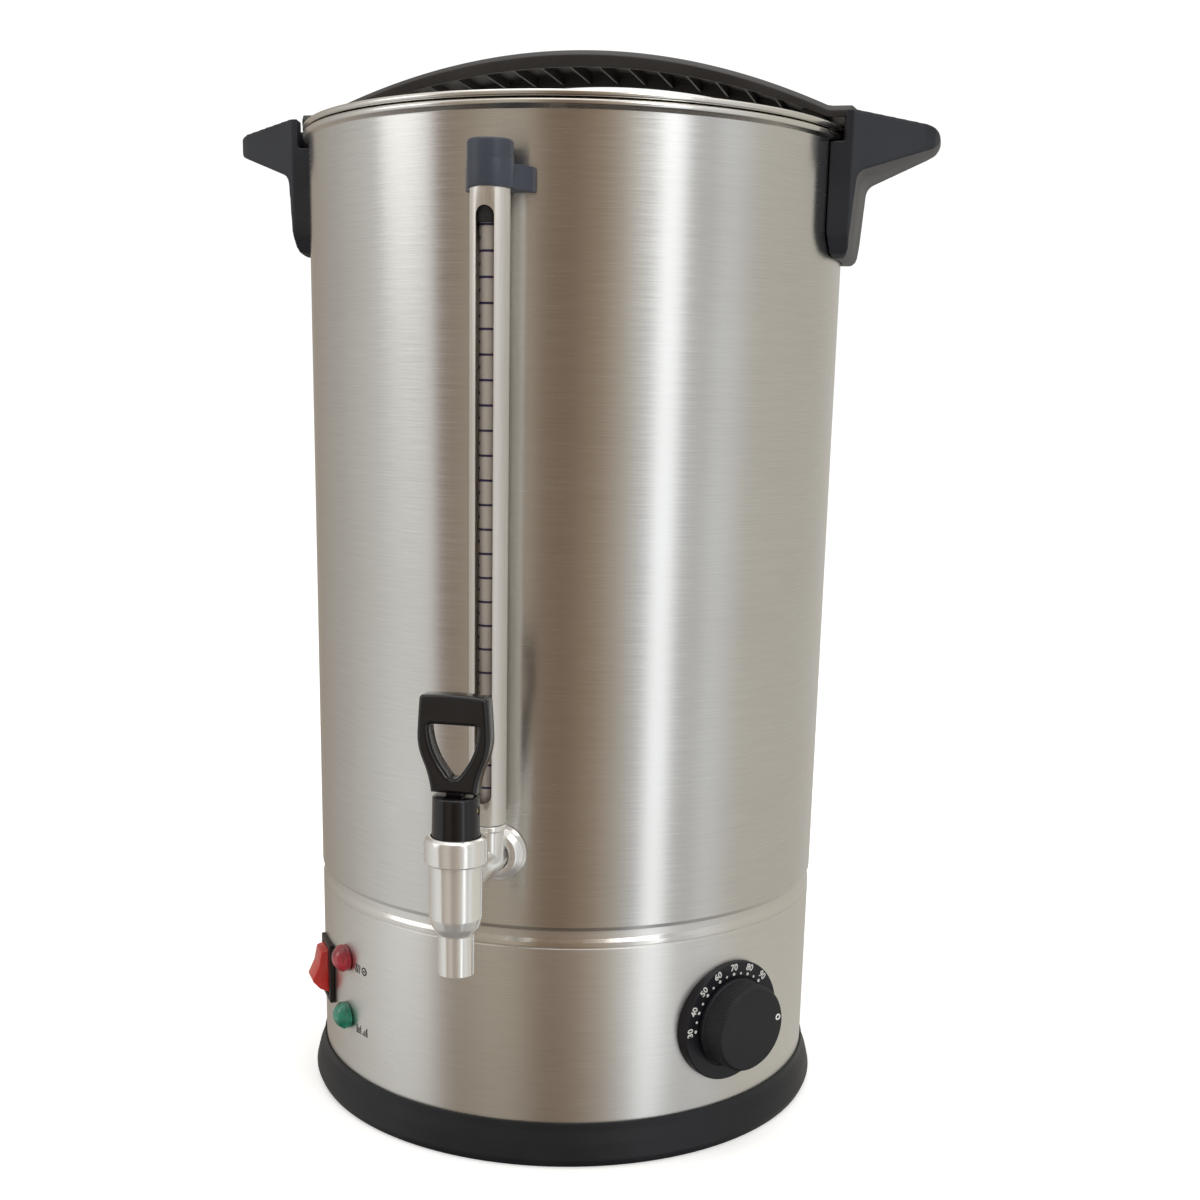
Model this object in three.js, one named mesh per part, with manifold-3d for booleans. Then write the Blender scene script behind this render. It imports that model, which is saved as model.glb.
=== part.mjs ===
// An electric stainless steel kettle for heating brewing water: a steel tank hung inside a brushed
// steel shell, on a black moulded base, with a lever tap and a water gauge in front, two side
// handles and a lid that turns to lock under them.
// Millimetres, +Z up. The origin is the centre of the base's underside. The tap faces -Y and the
// handles lie on the X axis.

import * as THREE from 'three';
import Module from 'manifold-3d';
import { mergeVertices } from 'three/addons/utils/BufferGeometryUtils.js';

const wasm = await Module();
wasm.setup();

// ---------------------------------------------------------------- driving dimensions

const GAP = 0.3; // air between pieces that touch

const SHELL_R = 160; // outside of the upper shell
const SHEET = 0.8; // steel thickness of shell and skirt
const SHELL_BOTTOM = 144.3;
const SHELL_TOP = 582.6; // foot of the shell's rolled bead
const RIM_TOP = 590.6; // crest of the tank's rolled rim
const RIM_R = 163.2;

const TANK_R = 154;
const TANK_WALL = 1;
const TANK_FLOOR = 164; // underside of the tank's floor

const SKIRT_R = 159.7;
const SKIRT_SHOULDER = 134.4; // the skirt steps in above this height
const NECK_R = 158.4;

const BASE_R = 166.7;
const BASE_HEIGHT = 26;
const BASE_SHELF = 5; // the skirt stands on this shelf inside the base

const TAP_Y = -235.8; // the tap's upright axis
const SHANK_Z = 190; // the tap's level inlet
const LEVER_PIVOT = 233.7;
const GAUGE_Y = -180.6; // the gauge's upright axis
const GUARD_R = 9.5;

const DIAL_AZIMUTH = 52; // degrees round from the front, towards +X
const DIAL_Z = 78.6;
const DIAL_R = 36.8;
const KNOB_R = 27;
const LAMP_AZIMUTH = -44;
const LAMP_RED_Z = 99;
const LAMP_GREEN_Z = 61.3;
const SWITCH_AZIMUTH = -57;
const SWITCH_Z = 80;
const ROCKER_TILT = 18; // degrees to either side of its middle position
const INLET_AZIMUTH = 180;
const INLET_Z = 60;

const LID_Z = 574; // underside of the lid's plate
const BRIDGE_HALF = 32; // half the bridge's width
const BRIDGE_CREST = 634.6;
const BRIDGE_HEM = 625; // lower edge at the middle of the bridge
const CREST_DROP = 709; // the crest falls by x * x / CREST_DROP
const HEM_DROP = 781;
const BRIDGE_END = 152; // the bridge runs level from here outwards
const HOOK_R = 167; // outside of the hooks that hang over the rim
const RIB_PITCH = 240 / 14;

const HANDLE_HALF = 42;
const HANDLE_TOP = 598;
const LEDGE_Z = 581.7; // floor of the slot that the lid's hooks turn in
const SLOT_R = 168.2;
const POCKET_R = 181.3;
const HANDLE_SCREW_Z = 570;

const ROUND = 40; // facets on the large round pieces
const FINE = 96; // facets on cutters that clear a large round wall

// ---------------------------------------------------------------- finishes

const FINISHES = {
  brushed: { color: 0xb9b4ab, roughness: 0.34, metalness: 1 },
  chrome: { color: 0xd9dadc, roughness: 0.08, metalness: 1 },
  aluminium: { color: 0xa8abae, roughness: 0.5, metalness: 1 },
  brass: { color: 0xb08d4a, roughness: 0.4, metalness: 1 },
  moulded: { color: 0x24262a, roughness: 0.5, metalness: 0 },
  slate: { color: 0x343840, roughness: 0.45, metalness: 0 },
  gloss_black: { color: 0x0d0c0e, roughness: 0.12, metalness: 0 },
  silicone: { color: 0x8c8f92, roughness: 0.7, metalness: 0 },
  clear: { color: 0xdfe6e8, roughness: 0.05, metalness: 0 },
  red: { color: 0xc01d18, roughness: 0.2, metalness: 0 },
  green: { color: 0x0b7a4b, roughness: 0.2, metalness: 0 },
};

const kettle = new THREE.Group();

function add(name, geometry, finish, azimuth = 0) {
  const mesh = new THREE.Mesh(geometry, new THREE.MeshStandardMaterial(FINISHES[finish]));
  mesh.name = name;
  mesh.rotation.z = THREE.MathUtils.degToRad(azimuth);
  kettle.add(mesh);
}

// ---------------------------------------------------------------- shape helpers

// Merges equal corners and drops the triangles that this leaves without area.
function weld(geometry) {
  geometry.deleteAttribute('normal');
  geometry.deleteAttribute('uv');
  const merged = mergeVertices(geometry, 1e-3);
  const corners = Array.from(merged.index.array);
  const kept = [];
  for (let i = 0; i < corners.length; i += 3) {
    const [a, b, c] = corners.slice(i, i + 3);
    if (a !== b && b !== c && c !== a) kept.push(a, b, c);
  }
  merged.setIndex(kept);
  return merged;
}

function toManifold(geometry) {
  const welded = weld(geometry);
  return new wasm.Manifold(new wasm.Mesh({
    numProp: 3,
    vertProperties: new Float32Array(welded.attributes.position.array),
    triVerts: new Uint32Array(welded.index.array),
  }));
}

function toGeometry(manifold) {
  const mesh = manifold.getMesh();
  const geometry = new THREE.BufferGeometry();
  geometry.setAttribute('position', new THREE.BufferAttribute(mesh.vertProperties, 3));
  geometry.setIndex(new THREE.BufferAttribute(mesh.triVerts, 1));
  return geometry;
}

function combine(method, first, others) {
  return toGeometry(others.reduce((sum, next) => sum[method](toManifold(next)), toManifold(first)));
}

const join = (first, ...others) => combine('add', first, others);
const cut = (first, ...others) => combine('subtract', first, others);
const overlap = (first, ...others) => combine('intersect', first, others);

// Turns a profile of [radius, height] points about Z. The profile runs up its outer side.
function turned(profile, facets = 20) {
  const points = profile.map(([radius, height]) => new THREE.Vector2(radius, height));
  if (profile[0][0] > 0) points.push(points[0].clone());
  return weld(new THREE.LatheGeometry(points, facets)).rotateX(Math.PI / 2);
}

const rod = (radius, bottom, top, facets) =>
  turned([[0, bottom], [radius, bottom], [radius, top], [0, top]], facets);

const tube = (inner, outer, bottom, top, facets) =>
  turned([[inner, bottom], [outer, bottom], [outer, top], [inner, top]], facets);

// Lays a piece turned about Z on its side, so that its height becomes the distance from the
// kettle's axis towards the front.
const facing = (geometry, z, x = 0) => geometry.rotateX(Math.PI / 2).translate(x, 0, z);

const spin = (geometry, azimuth) => geometry.rotateZ(THREE.MathUtils.degToRad(azimuth));

function box(xs, ys, zs) {
  const [dx, dy, dz] = [xs, ys, zs].map(([low, high]) => high - low);
  const geometry = new THREE.BoxGeometry(dx, dy, dz);
  return geometry.translate(xs[0] + dx / 2, ys[0] + dy / 2, zs[0] + dz / 2);
}

function outline(points) {
  return new THREE.Shape(points.map(([x, y]) => new THREE.Vector2(x, y)));
}

// An outline in X and Y, raised from z = bottom to z = top.
function upright(shape, bottom, top, curveSegments = 6) {
  const depth = top - bottom;
  const geometry = new THREE.ExtrudeGeometry(shape, { depth, bevelEnabled: false, curveSegments });
  return geometry.translate(0, 0, bottom);
}

// An outline in X and Z, carried from y = front to y = back.
function across(shape, front, back, curveSegments = 6) {
  return upright(shape, -back, -front, curveSegments).rotateX(Math.PI / 2);
}

// An outline in Y and Z, carried from x = left to x = right.
function along(shape, left, right) {
  return upright(shape, left, right).rotateX(Math.PI / 2).rotateZ(Math.PI / 2);
}

// A closed skin through equal rings of [x, y, z] points, with both end rings filled.
function loft(rings) {
  const count = rings[0].length;
  const positions = rings.flat(2);
  const index = [];
  for (let ring = 0; ring < rings.length - 1; ring += 1) {
    for (let side = 0; side < count; side += 1) {
      const a = ring * count + side;
      const b = ring * count + (side + 1) % count;
      index.push(a, b + count, a + count, a, b, b + count);
    }
  }
  const section = rings[0].map(([, y, z]) => new THREE.Vector2(y, z));
  const lastRing = (rings.length - 1) * count;
  for (const [a, b, c] of THREE.ShapeUtils.triangulateShape(section, [])) {
    index.push(a, c, b, a + lastRing, b + lastRing, c + lastRing);
  }
  const geometry = new THREE.BufferGeometry();
  geometry.setAttribute('position', new THREE.Float32BufferAttribute(positions, 3));
  geometry.setIndex(index);
  return geometry;
}

// Clears the curved steel wall behind a piece that is fixed to it.
const wallClearance = (low, high) => rod(SHELL_R + 2 * GAP, low, high, FINE);

// ---------------------------------------------------------------- base

const PAD_R = 11;
const FIXING_RADIUS = 150; // pads and screws lie on this circle
const PAD_AZIMUTHS = [0, 120, 240];
const BASE_SCREW_AZIMUTHS = [60, 180, 300];

const aboutAxis = (geometry, azimuth) => spin(geometry.translate(0, -FIXING_RADIUS, 0), azimuth);

function baseTray() {
  const inside = SKIRT_R + GAP;
  const tray = turned([
    [0, 0], [BASE_R - 3, 0], [BASE_R - 0.4, 3], [BASE_R, 7], [BASE_R - 3.6, 16.5],
    [inside + 1, BASE_HEIGHT],
    [inside, BASE_HEIGHT], [inside, BASE_SHELF], [142, BASE_SHELF], [140, 3], [0, 3],
  ], ROUND);
  const pockets = PAD_AZIMUTHS.map((azimuth) => aboutAxis(rod(PAD_R + 2 * GAP, -1, 2, 16), azimuth));
  const holes = BASE_SCREW_AZIMUTHS.map((azimuth) => aboutAxis(
    turned([[0, -1], [4.6, -1], [4.6, 2.8], [2.3, 2.8], [2.3, 6], [0, 6]], 12), azimuth));
  return cut(tray, ...pockets, ...holes);
}

const screwUpwards = (headR, shankR, bottom, head, top) =>
  turned([[0, bottom], [headR, bottom], [headR, bottom + head], [shankR, bottom + head],
    [shankR, top], [0, top]], 12);

add('base_tray', baseTray(), 'moulded');
PAD_AZIMUTHS.forEach((azimuth, i) => {
  add(`foot_pad_${i + 1}`, aboutAxis(rod(PAD_R, 0, 1.7, 16), azimuth), 'silicone');
});
BASE_SCREW_AZIMUTHS.forEach((azimuth, i) => {
  add(`base_screw_${i + 1}`, aboutAxis(screwUpwards(4, 1.8, 0.4, 2.1, 12), azimuth), 'chrome');
});

// ---------------------------------------------------------------- shells and tank

// A hole through the steel wall, square to it.
const wallHole = (radius, z, azimuth, from = 140) =>
  spin(facing(rod(radius, from, 170, 16), z), azimuth);

const SWITCH_BODY = [11, 17]; // half width and half height behind the wall
const INLET_BODY = [14, 10];

function wallWindow([halfWidth, halfHeight], z, azimuth) {
  const clearance = 2 * GAP;
  const [w, h] = [halfWidth + clearance, halfHeight + clearance];
  return spin(box([-w, w], [-170, -140], [z - h, z + h]), azimuth);
}

function lowerSkirt() {
  const foot = BASE_SHELF + GAP;
  const shoulder = SKIRT_SHOULDER;
  const skirt = turned([
    [145, foot], [SKIRT_R, foot], [SKIRT_R, shoulder], [SKIRT_R - 0.5, shoulder + 2.6],
    [NECK_R, shoulder + 4.4], [NECK_R, 156], [NECK_R - SHEET, 156],
    [NECK_R - SHEET, shoulder + 3.6], [SKIRT_R - SHEET, shoulder],
    [SKIRT_R - SHEET, foot + SHEET], [145, foot + SHEET],
  ], ROUND);
  return cut(
    skirt,
    wallHole(5, DIAL_Z, DIAL_AZIMUTH),
    wallHole(2.4, DIAL_Z + 14, DIAL_AZIMUTH),
    wallHole(2.4, DIAL_Z - 14, DIAL_AZIMUTH),
    wallHole(6.2, LAMP_RED_Z, LAMP_AZIMUTH),
    wallHole(6.2, LAMP_GREEN_Z, LAMP_AZIMUTH),
    wallWindow(SWITCH_BODY, SWITCH_Z, SWITCH_AZIMUTH),
    wallWindow(INLET_BODY, INLET_Z, INLET_AZIMUTH),
    ...BASE_SCREW_AZIMUTHS.map((azimuth) => aboutAxis(rod(2.3, 4, 8, 12), azimuth)),
  );
}

const HANDLE_SCREW_X = 18; // each screw's distance to the side of its handle's middle
const handleScrewPlaces = [];
for (const azimuth of [90, -90]) {
  for (const side of [-1, 1]) handleScrewPlaces.push({ azimuth, x: side * HANDLE_SCREW_X });
}

function outerShell() {
  const inner = SHELL_R - SHEET;
  const shell = turned([
    [inner, SHELL_BOTTOM], [SHELL_R, SHELL_BOTTOM], [SHELL_R, SHELL_TOP - 1],
    [RIM_R - 0.8, SHELL_TOP], [RIM_R, SHELL_TOP + 1.9], [RIM_R - 0.8, SHELL_TOP + 3.8],
    [RIM_R - 2.4, SHELL_TOP + 3.8], [inner, SHELL_TOP + 1],
  ], ROUND);
  const screwHoles = handleScrewPlaces.map(({ azimuth, x }) =>
    spin(facing(rod(2.4, 150, 165, 12), HANDLE_SCREW_Z, x), azimuth));
  return cut(shell, wallHole(9, SHANK_Z, 0), ...screwHoles);
}

function innerTank() {
  const inside = TANK_R - TANK_WALL;
  const tank = turned([
    [0, TANK_FLOOR], [TANK_R - 6, TANK_FLOOR], [TANK_R, TANK_FLOOR + 6], [TANK_R, 585],
    [156, RIM_TOP - 3.6], [RIM_R - 1, RIM_TOP - 3.6], [RIM_R, RIM_TOP - 1.9],
    [RIM_R - 1.6, RIM_TOP - 0.3], [159.4, RIM_TOP], [156, RIM_TOP - 1], [inside, 586.6],
    [inside, TANK_FLOOR + 6.4], [TANK_R - 6.4, TANK_FLOOR + TANK_WALL],
    [0, TANK_FLOOR + TANK_WALL],
  ], ROUND);
  return cut(tank, wallHole(9, SHANK_Z, 0));
}

add('lower_skirt', lowerSkirt(), 'brushed');
add('outer_shell', outerShell(), 'brushed');
add('inner_tank', innerTank(), 'brushed');

// ---------------------------------------------------------------- heater

const HEATER_R = 75;

function heatingElement() {
  const turn = new THREE.ArcCurve(0, 0, HEATER_R, 0.2, 2 * Math.PI - 0.2);
  const points = turn.getPoints(24).map(({ x, y }) => new THREE.Vector3(x, y, 156.2));
  const section = new THREE.Shape().absarc(0, 0, 4, 0, 2 * Math.PI);
  return new THREE.ExtrudeGeometry(section, {
    steps: 24, curveSegments: 3, extrudePath: new THREE.CatmullRomCurve3(points),
  });
}

add('heating_plate', rod(100, 160.7, TANK_FLOOR - GAP, 32), 'aluminium');
add('heating_element', weld(heatingElement()), 'chrome');
add('thermal_cutout', rod(9, 148, 160.4, 16), 'slate');
add('terminal_block', box([-22, 22], [52, 68], [3.3, 21]), 'silicone');

// ---------------------------------------------------------------- thermostat, dial and knob

const SHAFT_R = 3;
const BEZEL_FACE = 163.2; // distance of the dial's face from the kettle's axis
const KNOB_FACE = 180.3;
const DIAL_SCREW_OFFSETS = [14, -14];

function dialBezel() {
  const face = facing(turned([
    [SHAFT_R + 1, 150], [DIAL_R, 150], [DIAL_R, BEZEL_FACE - 1], [DIAL_R - 1, BEZEL_FACE],
    [SHAFT_R + 1, BEZEL_FACE],
  ], 28), DIAL_Z);
  const sinks = DIAL_SCREW_OFFSETS.map((dz) =>
    facing(turned([[0, 150], [2.2, 150], [2.2, 161.1], [3.8, 161.1], [3.8, 170], [0, 170]], 16),
      DIAL_Z + dz));
  return cut(face, wallClearance(0, 140), ...sinks);
}

function thermostatKnob() {
  const back = BEZEL_FACE + GAP;
  return facing(turned([
    [SHAFT_R + GAP, back], [KNOB_R - 0.6, back], [KNOB_R, back + 1.2], [KNOB_R - 0.8, KNOB_FACE - 2.2],
    [KNOB_R - 2.6, KNOB_FACE], [0, KNOB_FACE], [0, 176], [SHAFT_R + GAP, 176],
  ], 28), DIAL_Z);
}

function thermostatBody() {
  const body = box([-17, 17], [-149, -122], [DIAL_Z - 20, DIAL_Z + 20]);
  const plate = box([-12, 12], [-155.4, -149], [DIAL_Z - 20, DIAL_Z + 20]);
  const shaftBore = facing(rod(SHAFT_R + 0.5, 139, 170, 16), DIAL_Z);
  const screwBores = DIAL_SCREW_OFFSETS.map((dz) => facing(rod(1.9, 148, 170, 12), DIAL_Z + dz));
  return cut(join(body, plate), shaftBore, ...screwBores);
}

add('dial_bezel', dialBezel(), 'moulded', DIAL_AZIMUTH);
add('thermostat_knob', thermostatKnob(), 'moulded', DIAL_AZIMUTH);
add('thermostat_shaft', facing(rod(SHAFT_R, 139.5, 175.7, 16), DIAL_Z), 'brass', DIAL_AZIMUTH);
add('thermostat_body', thermostatBody(), 'aluminium', DIAL_AZIMUTH);
add('thermostat_bulb', rod(3, -40, 40, 12).rotateY(Math.PI / 2).translate(0, 116, 157), 'brass');
DIAL_SCREW_OFFSETS.forEach((dz, i) => {
  const screw = turned([[0, 148.6], [1.5, 148.6], [1.5, 161.4], [3.3, 161.4], [3.3, 162.9],
    [0, 162.9]], 12);
  add(`thermostat_screw_${i + 1}`, facing(screw, DIAL_Z + dz), 'chrome', DIAL_AZIMUTH);
});

// ---------------------------------------------------------------- lamps

const LENS_R = 8.5;
const LENS_BACK = SHELL_R + 0.5;

function lampLens(z) {
  return facing(turned([
    [0, LENS_BACK], [LENS_R, LENS_BACK], [LENS_R, LENS_BACK + 2.5], [LENS_R - 0.8, 165.6],
    [LENS_R - 3, 167.8], [LENS_R - 5.6, 168.7], [0, 168.9],
  ], 20), z);
}

const LAMPS = { red: LAMP_RED_Z, green: LAMP_GREEN_Z };
for (const [colour, z] of Object.entries(LAMPS)) {
  add(`lamp_${colour}_lens`, lampLens(z), colour, LAMP_AZIMUTH);
  add(`lamp_${colour}_body`, facing(rod(5.6, 136, LENS_BACK - GAP, 16), z), 'slate', LAMP_AZIMUTH);
}

// ---------------------------------------------------------------- rocker switch

const ROCKER_PIVOT = 156.5; // distance of the rocker's pins from the kettle's axis
const SWITCH_FACE = 162.2;
const PIN_R = 1.4;

function rockerHousing() {
  const [w, h] = SWITCH_BODY;
  const flange = cut(
    box([-13.5, 13.5], [-SWITCH_FACE, -150], [SWITCH_Z - 19.5, SWITCH_Z + 19.5]),
    wallClearance(0, 140));
  const body = box([-w, w], [-SWITCH_FACE + 0.5, -130], [SWITCH_Z - h, SWITCH_Z + h]);
  const mouth = box([-9.2, 9.2], [-170, -150], [SWITCH_Z - 15.9, SWITCH_Z + 15.9]);
  const pinBore = rod(PIN_R + 0.3, -10.7, 10.7, 12).rotateY(Math.PI / 2)
    .translate(0, -ROCKER_PIVOT, SWITCH_Z);
  return cut(join(body, flange), mouth, pinBore);
}

// Drawn about its pins: the first number is outwards from the wall, the second upwards.
const ROCKER_CORNERS = [
  [-3.2, -8], [0, -14.7], [7, -14], [13.5, -10], [12.2, 0], [13.5, 10], [7, 14], [0, 14.7],
  [-3.2, 8],
];

function rocker() {
  const tilt = THREE.MathUtils.degToRad(-ROCKER_TILT);
  const turnedCorners = ROCKER_CORNERS.map(([out, up]) => [
    -(out * Math.cos(tilt) + up * Math.sin(tilt)),
    up * Math.cos(tilt) - out * Math.sin(tilt),
  ]);
  const body = along(outline(turnedCorners), -8.8, 8.8);
  const pins = rod(PIN_R, -10.4, 10.4, 12).rotateY(Math.PI / 2);
  return join(body, pins).translate(0, -ROCKER_PIVOT, SWITCH_Z);
}

add('rocker_housing', rockerHousing(), 'moulded', SWITCH_AZIMUTH);
add('rocker', rocker(), 'red', SWITCH_AZIMUTH);


// ---------------------------------------------------------------- appliance inlet at the back

const INLET_FACE = 163.2;
const PLUG_DEPTH = 17;
const INLET_PINS = { line: [-7, -0.5], neutral: [7, -0.5], earth: [0, 3.5] };

function inletBlade([x, z], grow) {
  const [w, h] = [1 + grow, 2 + grow];
  const zs = [INLET_Z + z - h, INLET_Z + z + h];
  return box([x - w, x + w], [-160 - grow, -127 + grow], zs);
}

function inletSocket() {
  const [w, h] = INLET_BODY;
  const flange = cut(
    box([-17, 17], [-INLET_FACE, -150], [INLET_Z - 13, INLET_Z + 13]), wallClearance(0, 140));
  const body = box([-w, w], [-INLET_FACE + 0.5, -130], [INLET_Z - h, INLET_Z + h]);
  const plugSpace = across(outline([
    [-12.2, -8.3], [12.2, -8.3], [12.2, 3.6], [7.5, 8.3], [-7.5, 8.3], [-12.2, 3.6],
  ]), -170, -INLET_FACE + PLUG_DEPTH).translate(0, 0, INLET_Z);
  const bladeHoles = Object.values(INLET_PINS).map((place) => inletBlade(place, GAP));
  return cut(join(body, flange), plugSpace, ...bladeHoles);
}

add('inlet_socket', inletSocket(), 'moulded', INLET_AZIMUTH);
for (const [pole, place] of Object.entries(INLET_PINS)) {
  add(`inlet_pin_${pole}`, inletBlade(place, 0), 'brass', INLET_AZIMUTH);
}

// ---------------------------------------------------------------- tap

const BARREL_R = 13.9;
const SPOUT_R = 9.7;
const OUTLET_Z = 144.9;
const BARREL_TOP = 205.5;
const SPIGOT_R = 13.2; // the bonnet ring screws down over this spigot
const SHANK_R = 8.5;
const BOSS_TOP = 208.5;
const GLASS_R = 5.5;
const NECK_BOTTOM = BARREL_TOP + 8.4;
const NECK_TOP = LEVER_PIVOT + 7.4;
const STEM_R = 2;
const LEVER_FOOT = LEVER_PIVOT + 9.2;
const PIVOT_PIN_R = 1.9;

const onTap = (geometry) => geometry.translate(0, TAP_Y, 0);
const onGauge = (geometry) => geometry.translate(0, GAUGE_Y, 0);

function tapBody() {
  const barrel = onTap(turned([
    [0, OUTLET_Z], [SPOUT_R, OUTLET_Z], [SPOUT_R, 168], [10.3, 170], [12.6, 172.6],
    [BARREL_R, 177], [BARREL_R, BARREL_TOP], [SPIGOT_R, BARREL_TOP], [SPIGOT_R, NECK_BOTTOM - GAP],
    [0, NECK_BOTTOM - GAP],
  ], 20));
  const bore = onTap(turned([
    [0, 140], [7.2, 140], [7.2, 176], [11.5, 176], [11.5, 220], [0, 220],
  ], 16));
  const shank = facing(rod(SHANK_R, 143.6, 228), SHANK_Z);
  const shankBore = facing(rod(5, 140, 230, 16), SHANK_Z);
  const boss = onGauge(rod(9, SHANK_Z, BOSS_TOP));
  const bossBore = onGauge(turned([
    [0, SHANK_Z - 2], [4, SHANK_Z - 2], [4, 200], [GLASS_R + GAP + 0.1, 200],
    [GLASS_R + GAP + 0.1, 210], [0, 210],
  ], 20));
  return cut(join(barrel, shank, boss), bore, shankBore, bossBore);
}

function tapBonnetRing() {
  return onTap(turned([
    [SPIGOT_R + 0.5, BARREL_TOP + GAP], [16.5, BARREL_TOP + GAP], [16.5, BARREL_TOP + 11.1],
    [15.6, BARREL_TOP + 13.4], [13.9, BARREL_TOP + 14.6], [12.9, BARREL_TOP + 14.6],
    [12.9, BARREL_TOP + 11], [SPIGOT_R + 0.5, BARREL_TOP + 11],
  ], 20));
}

function crossPin(radius, halfLength) {
  return rod(radius, -halfLength, halfLength, 16).rotateY(Math.PI / 2)
    .translate(0, TAP_Y, LEVER_PIVOT);
}

function tapNeck() {
  const neck = onTap(turned([
    [0, NECK_BOTTOM], [SPIGOT_R, NECK_BOTTOM], [SPIGOT_R, NECK_BOTTOM + 2.3],
    [12.5, NECK_BOTTOM + 2.3], [12.5, NECK_BOTTOM + 7], [12.1, NECK_TOP], [0, NECK_TOP],
  ], 20));
  const slotFloor = LEVER_PIVOT - 8.5;
  const stemBore = onTap(rod(STEM_R + 0.4, NECK_BOTTOM - 2, slotFloor + 1, 12));
  const slot = onTap(box([-4.5, 4.5], [-8, 8], [slotFloor, NECK_TOP + 3]));
  return cut(neck, stemBore, slot, crossPin(PIVOT_PIN_R + GAP, 20));
}

function leverShape() {
  const up = (height) => LEVER_FOOT + height;
  const shield = new THREE.Shape();
  shield.moveTo(-12.3, up(0));
  shield.lineTo(12.3, up(0));
  shield.quadraticCurveTo(13.2, up(8.5), 16.4, up(15.8));
  shield.quadraticCurveTo(19.6, up(23), 19.25, up(30.5));
  shield.lineTo(18, up(48.3));
  shield.quadraticCurveTo(17.6, up(50.1), 15.8, up(50.3));
  shield.quadraticCurveTo(0, up(51.9), -15.8, up(50.3));
  shield.quadraticCurveTo(-17.6, up(50.1), -18, up(48.3));
  shield.lineTo(-19.25, up(30.5));
  shield.quadraticCurveTo(-19.6, up(23), -16.4, up(15.8));
  shield.quadraticCurveTo(-13.2, up(8.5), -12.3, up(0));
  const loop = new THREE.Path();
  loop.moveTo(-13.2, up(35.3));
  loop.lineTo(13.2, up(35.3));
  loop.quadraticCurveTo(13, up(21.5), 3, up(9));
  loop.quadraticCurveTo(0, up(6.4), -3, up(9));
  loop.quadraticCurveTo(-13, up(21.5), -13.2, up(35.3));
  shield.holes.push(loop);
  return shield;
}

function tapLever() {
  const front = across(leverShape(), -6, 6, 5);
  const [foot, crown] = [LEVER_FOOT, LEVER_FOOT + 52];
  const side = along(outline([
    [-2.5, foot], [2.5, foot], [6, foot + 1.3], [6, crown - 3], [4.4, crown], [-4.4, crown],
    [-6, crown - 3], [-6, foot + 1.3],
  ]), -25, 25);
  const tongue = box([-4, 4], [-4, 4], [LEVER_PIVOT - 5, foot + 2]);
  return cut(onTap(join(overlap(front, side), tongue)), crossPin(PIVOT_PIN_R + GAP, 20));
}

class SpringCurve extends THREE.Curve {
  constructor(radius, bottom, top, turns) {
    super();
    Object.assign(this, { radius, bottom, top, turns });
  }

  getPoint(t) {
    const angle = 2 * Math.PI * this.turns * t;
    const height = this.bottom + (this.top - this.bottom) * t;
    return new THREE.Vector3(this.radius * Math.cos(angle), this.radius * Math.sin(angle), height);
  }
}

function tapSpring() {
  const wire = new THREE.Shape().absarc(0, 0, 0.6, 0, 2 * Math.PI);
  const extrudePath = new SpringCurve(5, 183, NECK_BOTTOM - 0.9, 5);
  return onTap(weld(new THREE.ExtrudeGeometry(wire, { steps: 40, curveSegments: 2, extrudePath })));
}

add('tap_body', tapBody(), 'chrome');
add('tap_bonnet_ring', tapBonnetRing(), 'chrome');
add('tap_neck', tapNeck(), 'gloss_black');
add('tap_lever', tapLever(), 'gloss_black');
add('lever_pin', crossPin(PIVOT_PIN_R, 11.6), 'brass');
add('valve_stem', onTap(rod(STEM_R, 178.3, 221.5, 12)), 'chrome');
add('valve_cup', onTap(turned([
  [0, 176.3], [9.5, 176.3], [9.5, 180], [6, 182], [STEM_R + 0.4, 182], [STEM_R + 0.4, 178],
  [0, 178],
])), 'silicone');
add('tap_spring', tapSpring(), 'chrome');
add('tap_flange', facing(turned([
  [SHANK_R + GAP, 160.4], [17, 160.4], [17, 162.2], [15.6, 165.6], [12.4, 168.4],
  [SHANK_R + GAP, 169.4],
], 24), SHANK_Z), 'chrome');
add('tap_washer', facing(tube(SHANK_R + GAP, 15, 149.6, 151.6), SHANK_Z), 'silicone');
add('tap_lock_nut', facing(cut(rod(14, 144, 149.3, 6), rod(SHANK_R + GAP, 140, 152)), SHANK_Z),
  'chrome');

// ---------------------------------------------------------------- water gauge

const GUARD_INNER = 8.3;
const GUARD_BOTTOM = 212.3;
const GUARD_TOP = 548;
const SLOT_HALF = 4.25;
const SLOT_BOTTOM = 225;
const SLOT_TOP = 531.9;
const CAP_R = 12;
const CAP_BOTTOM = 540.8;
const CAP_TOP = 563.6;
const SEAL_OUTER = GUARD_INNER - GAP;
const SEAL_INNER = GLASS_R + GAP;

function gaugeGuard() {
  const slot = new THREE.Shape();
  slot.absarc(0, SLOT_TOP - SLOT_HALF, SLOT_HALF, 0, Math.PI);
  slot.absarc(0, SLOT_BOTTOM + SLOT_HALF, SLOT_HALF, Math.PI, 2 * Math.PI);
  const cutter = across(slot, GAUGE_Y - 20, GAUGE_Y - 3);
  return cut(onGauge(tube(GUARD_INNER, GUARD_R, GUARD_BOTTOM, GUARD_TOP, 20)), cutter);
}

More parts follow.
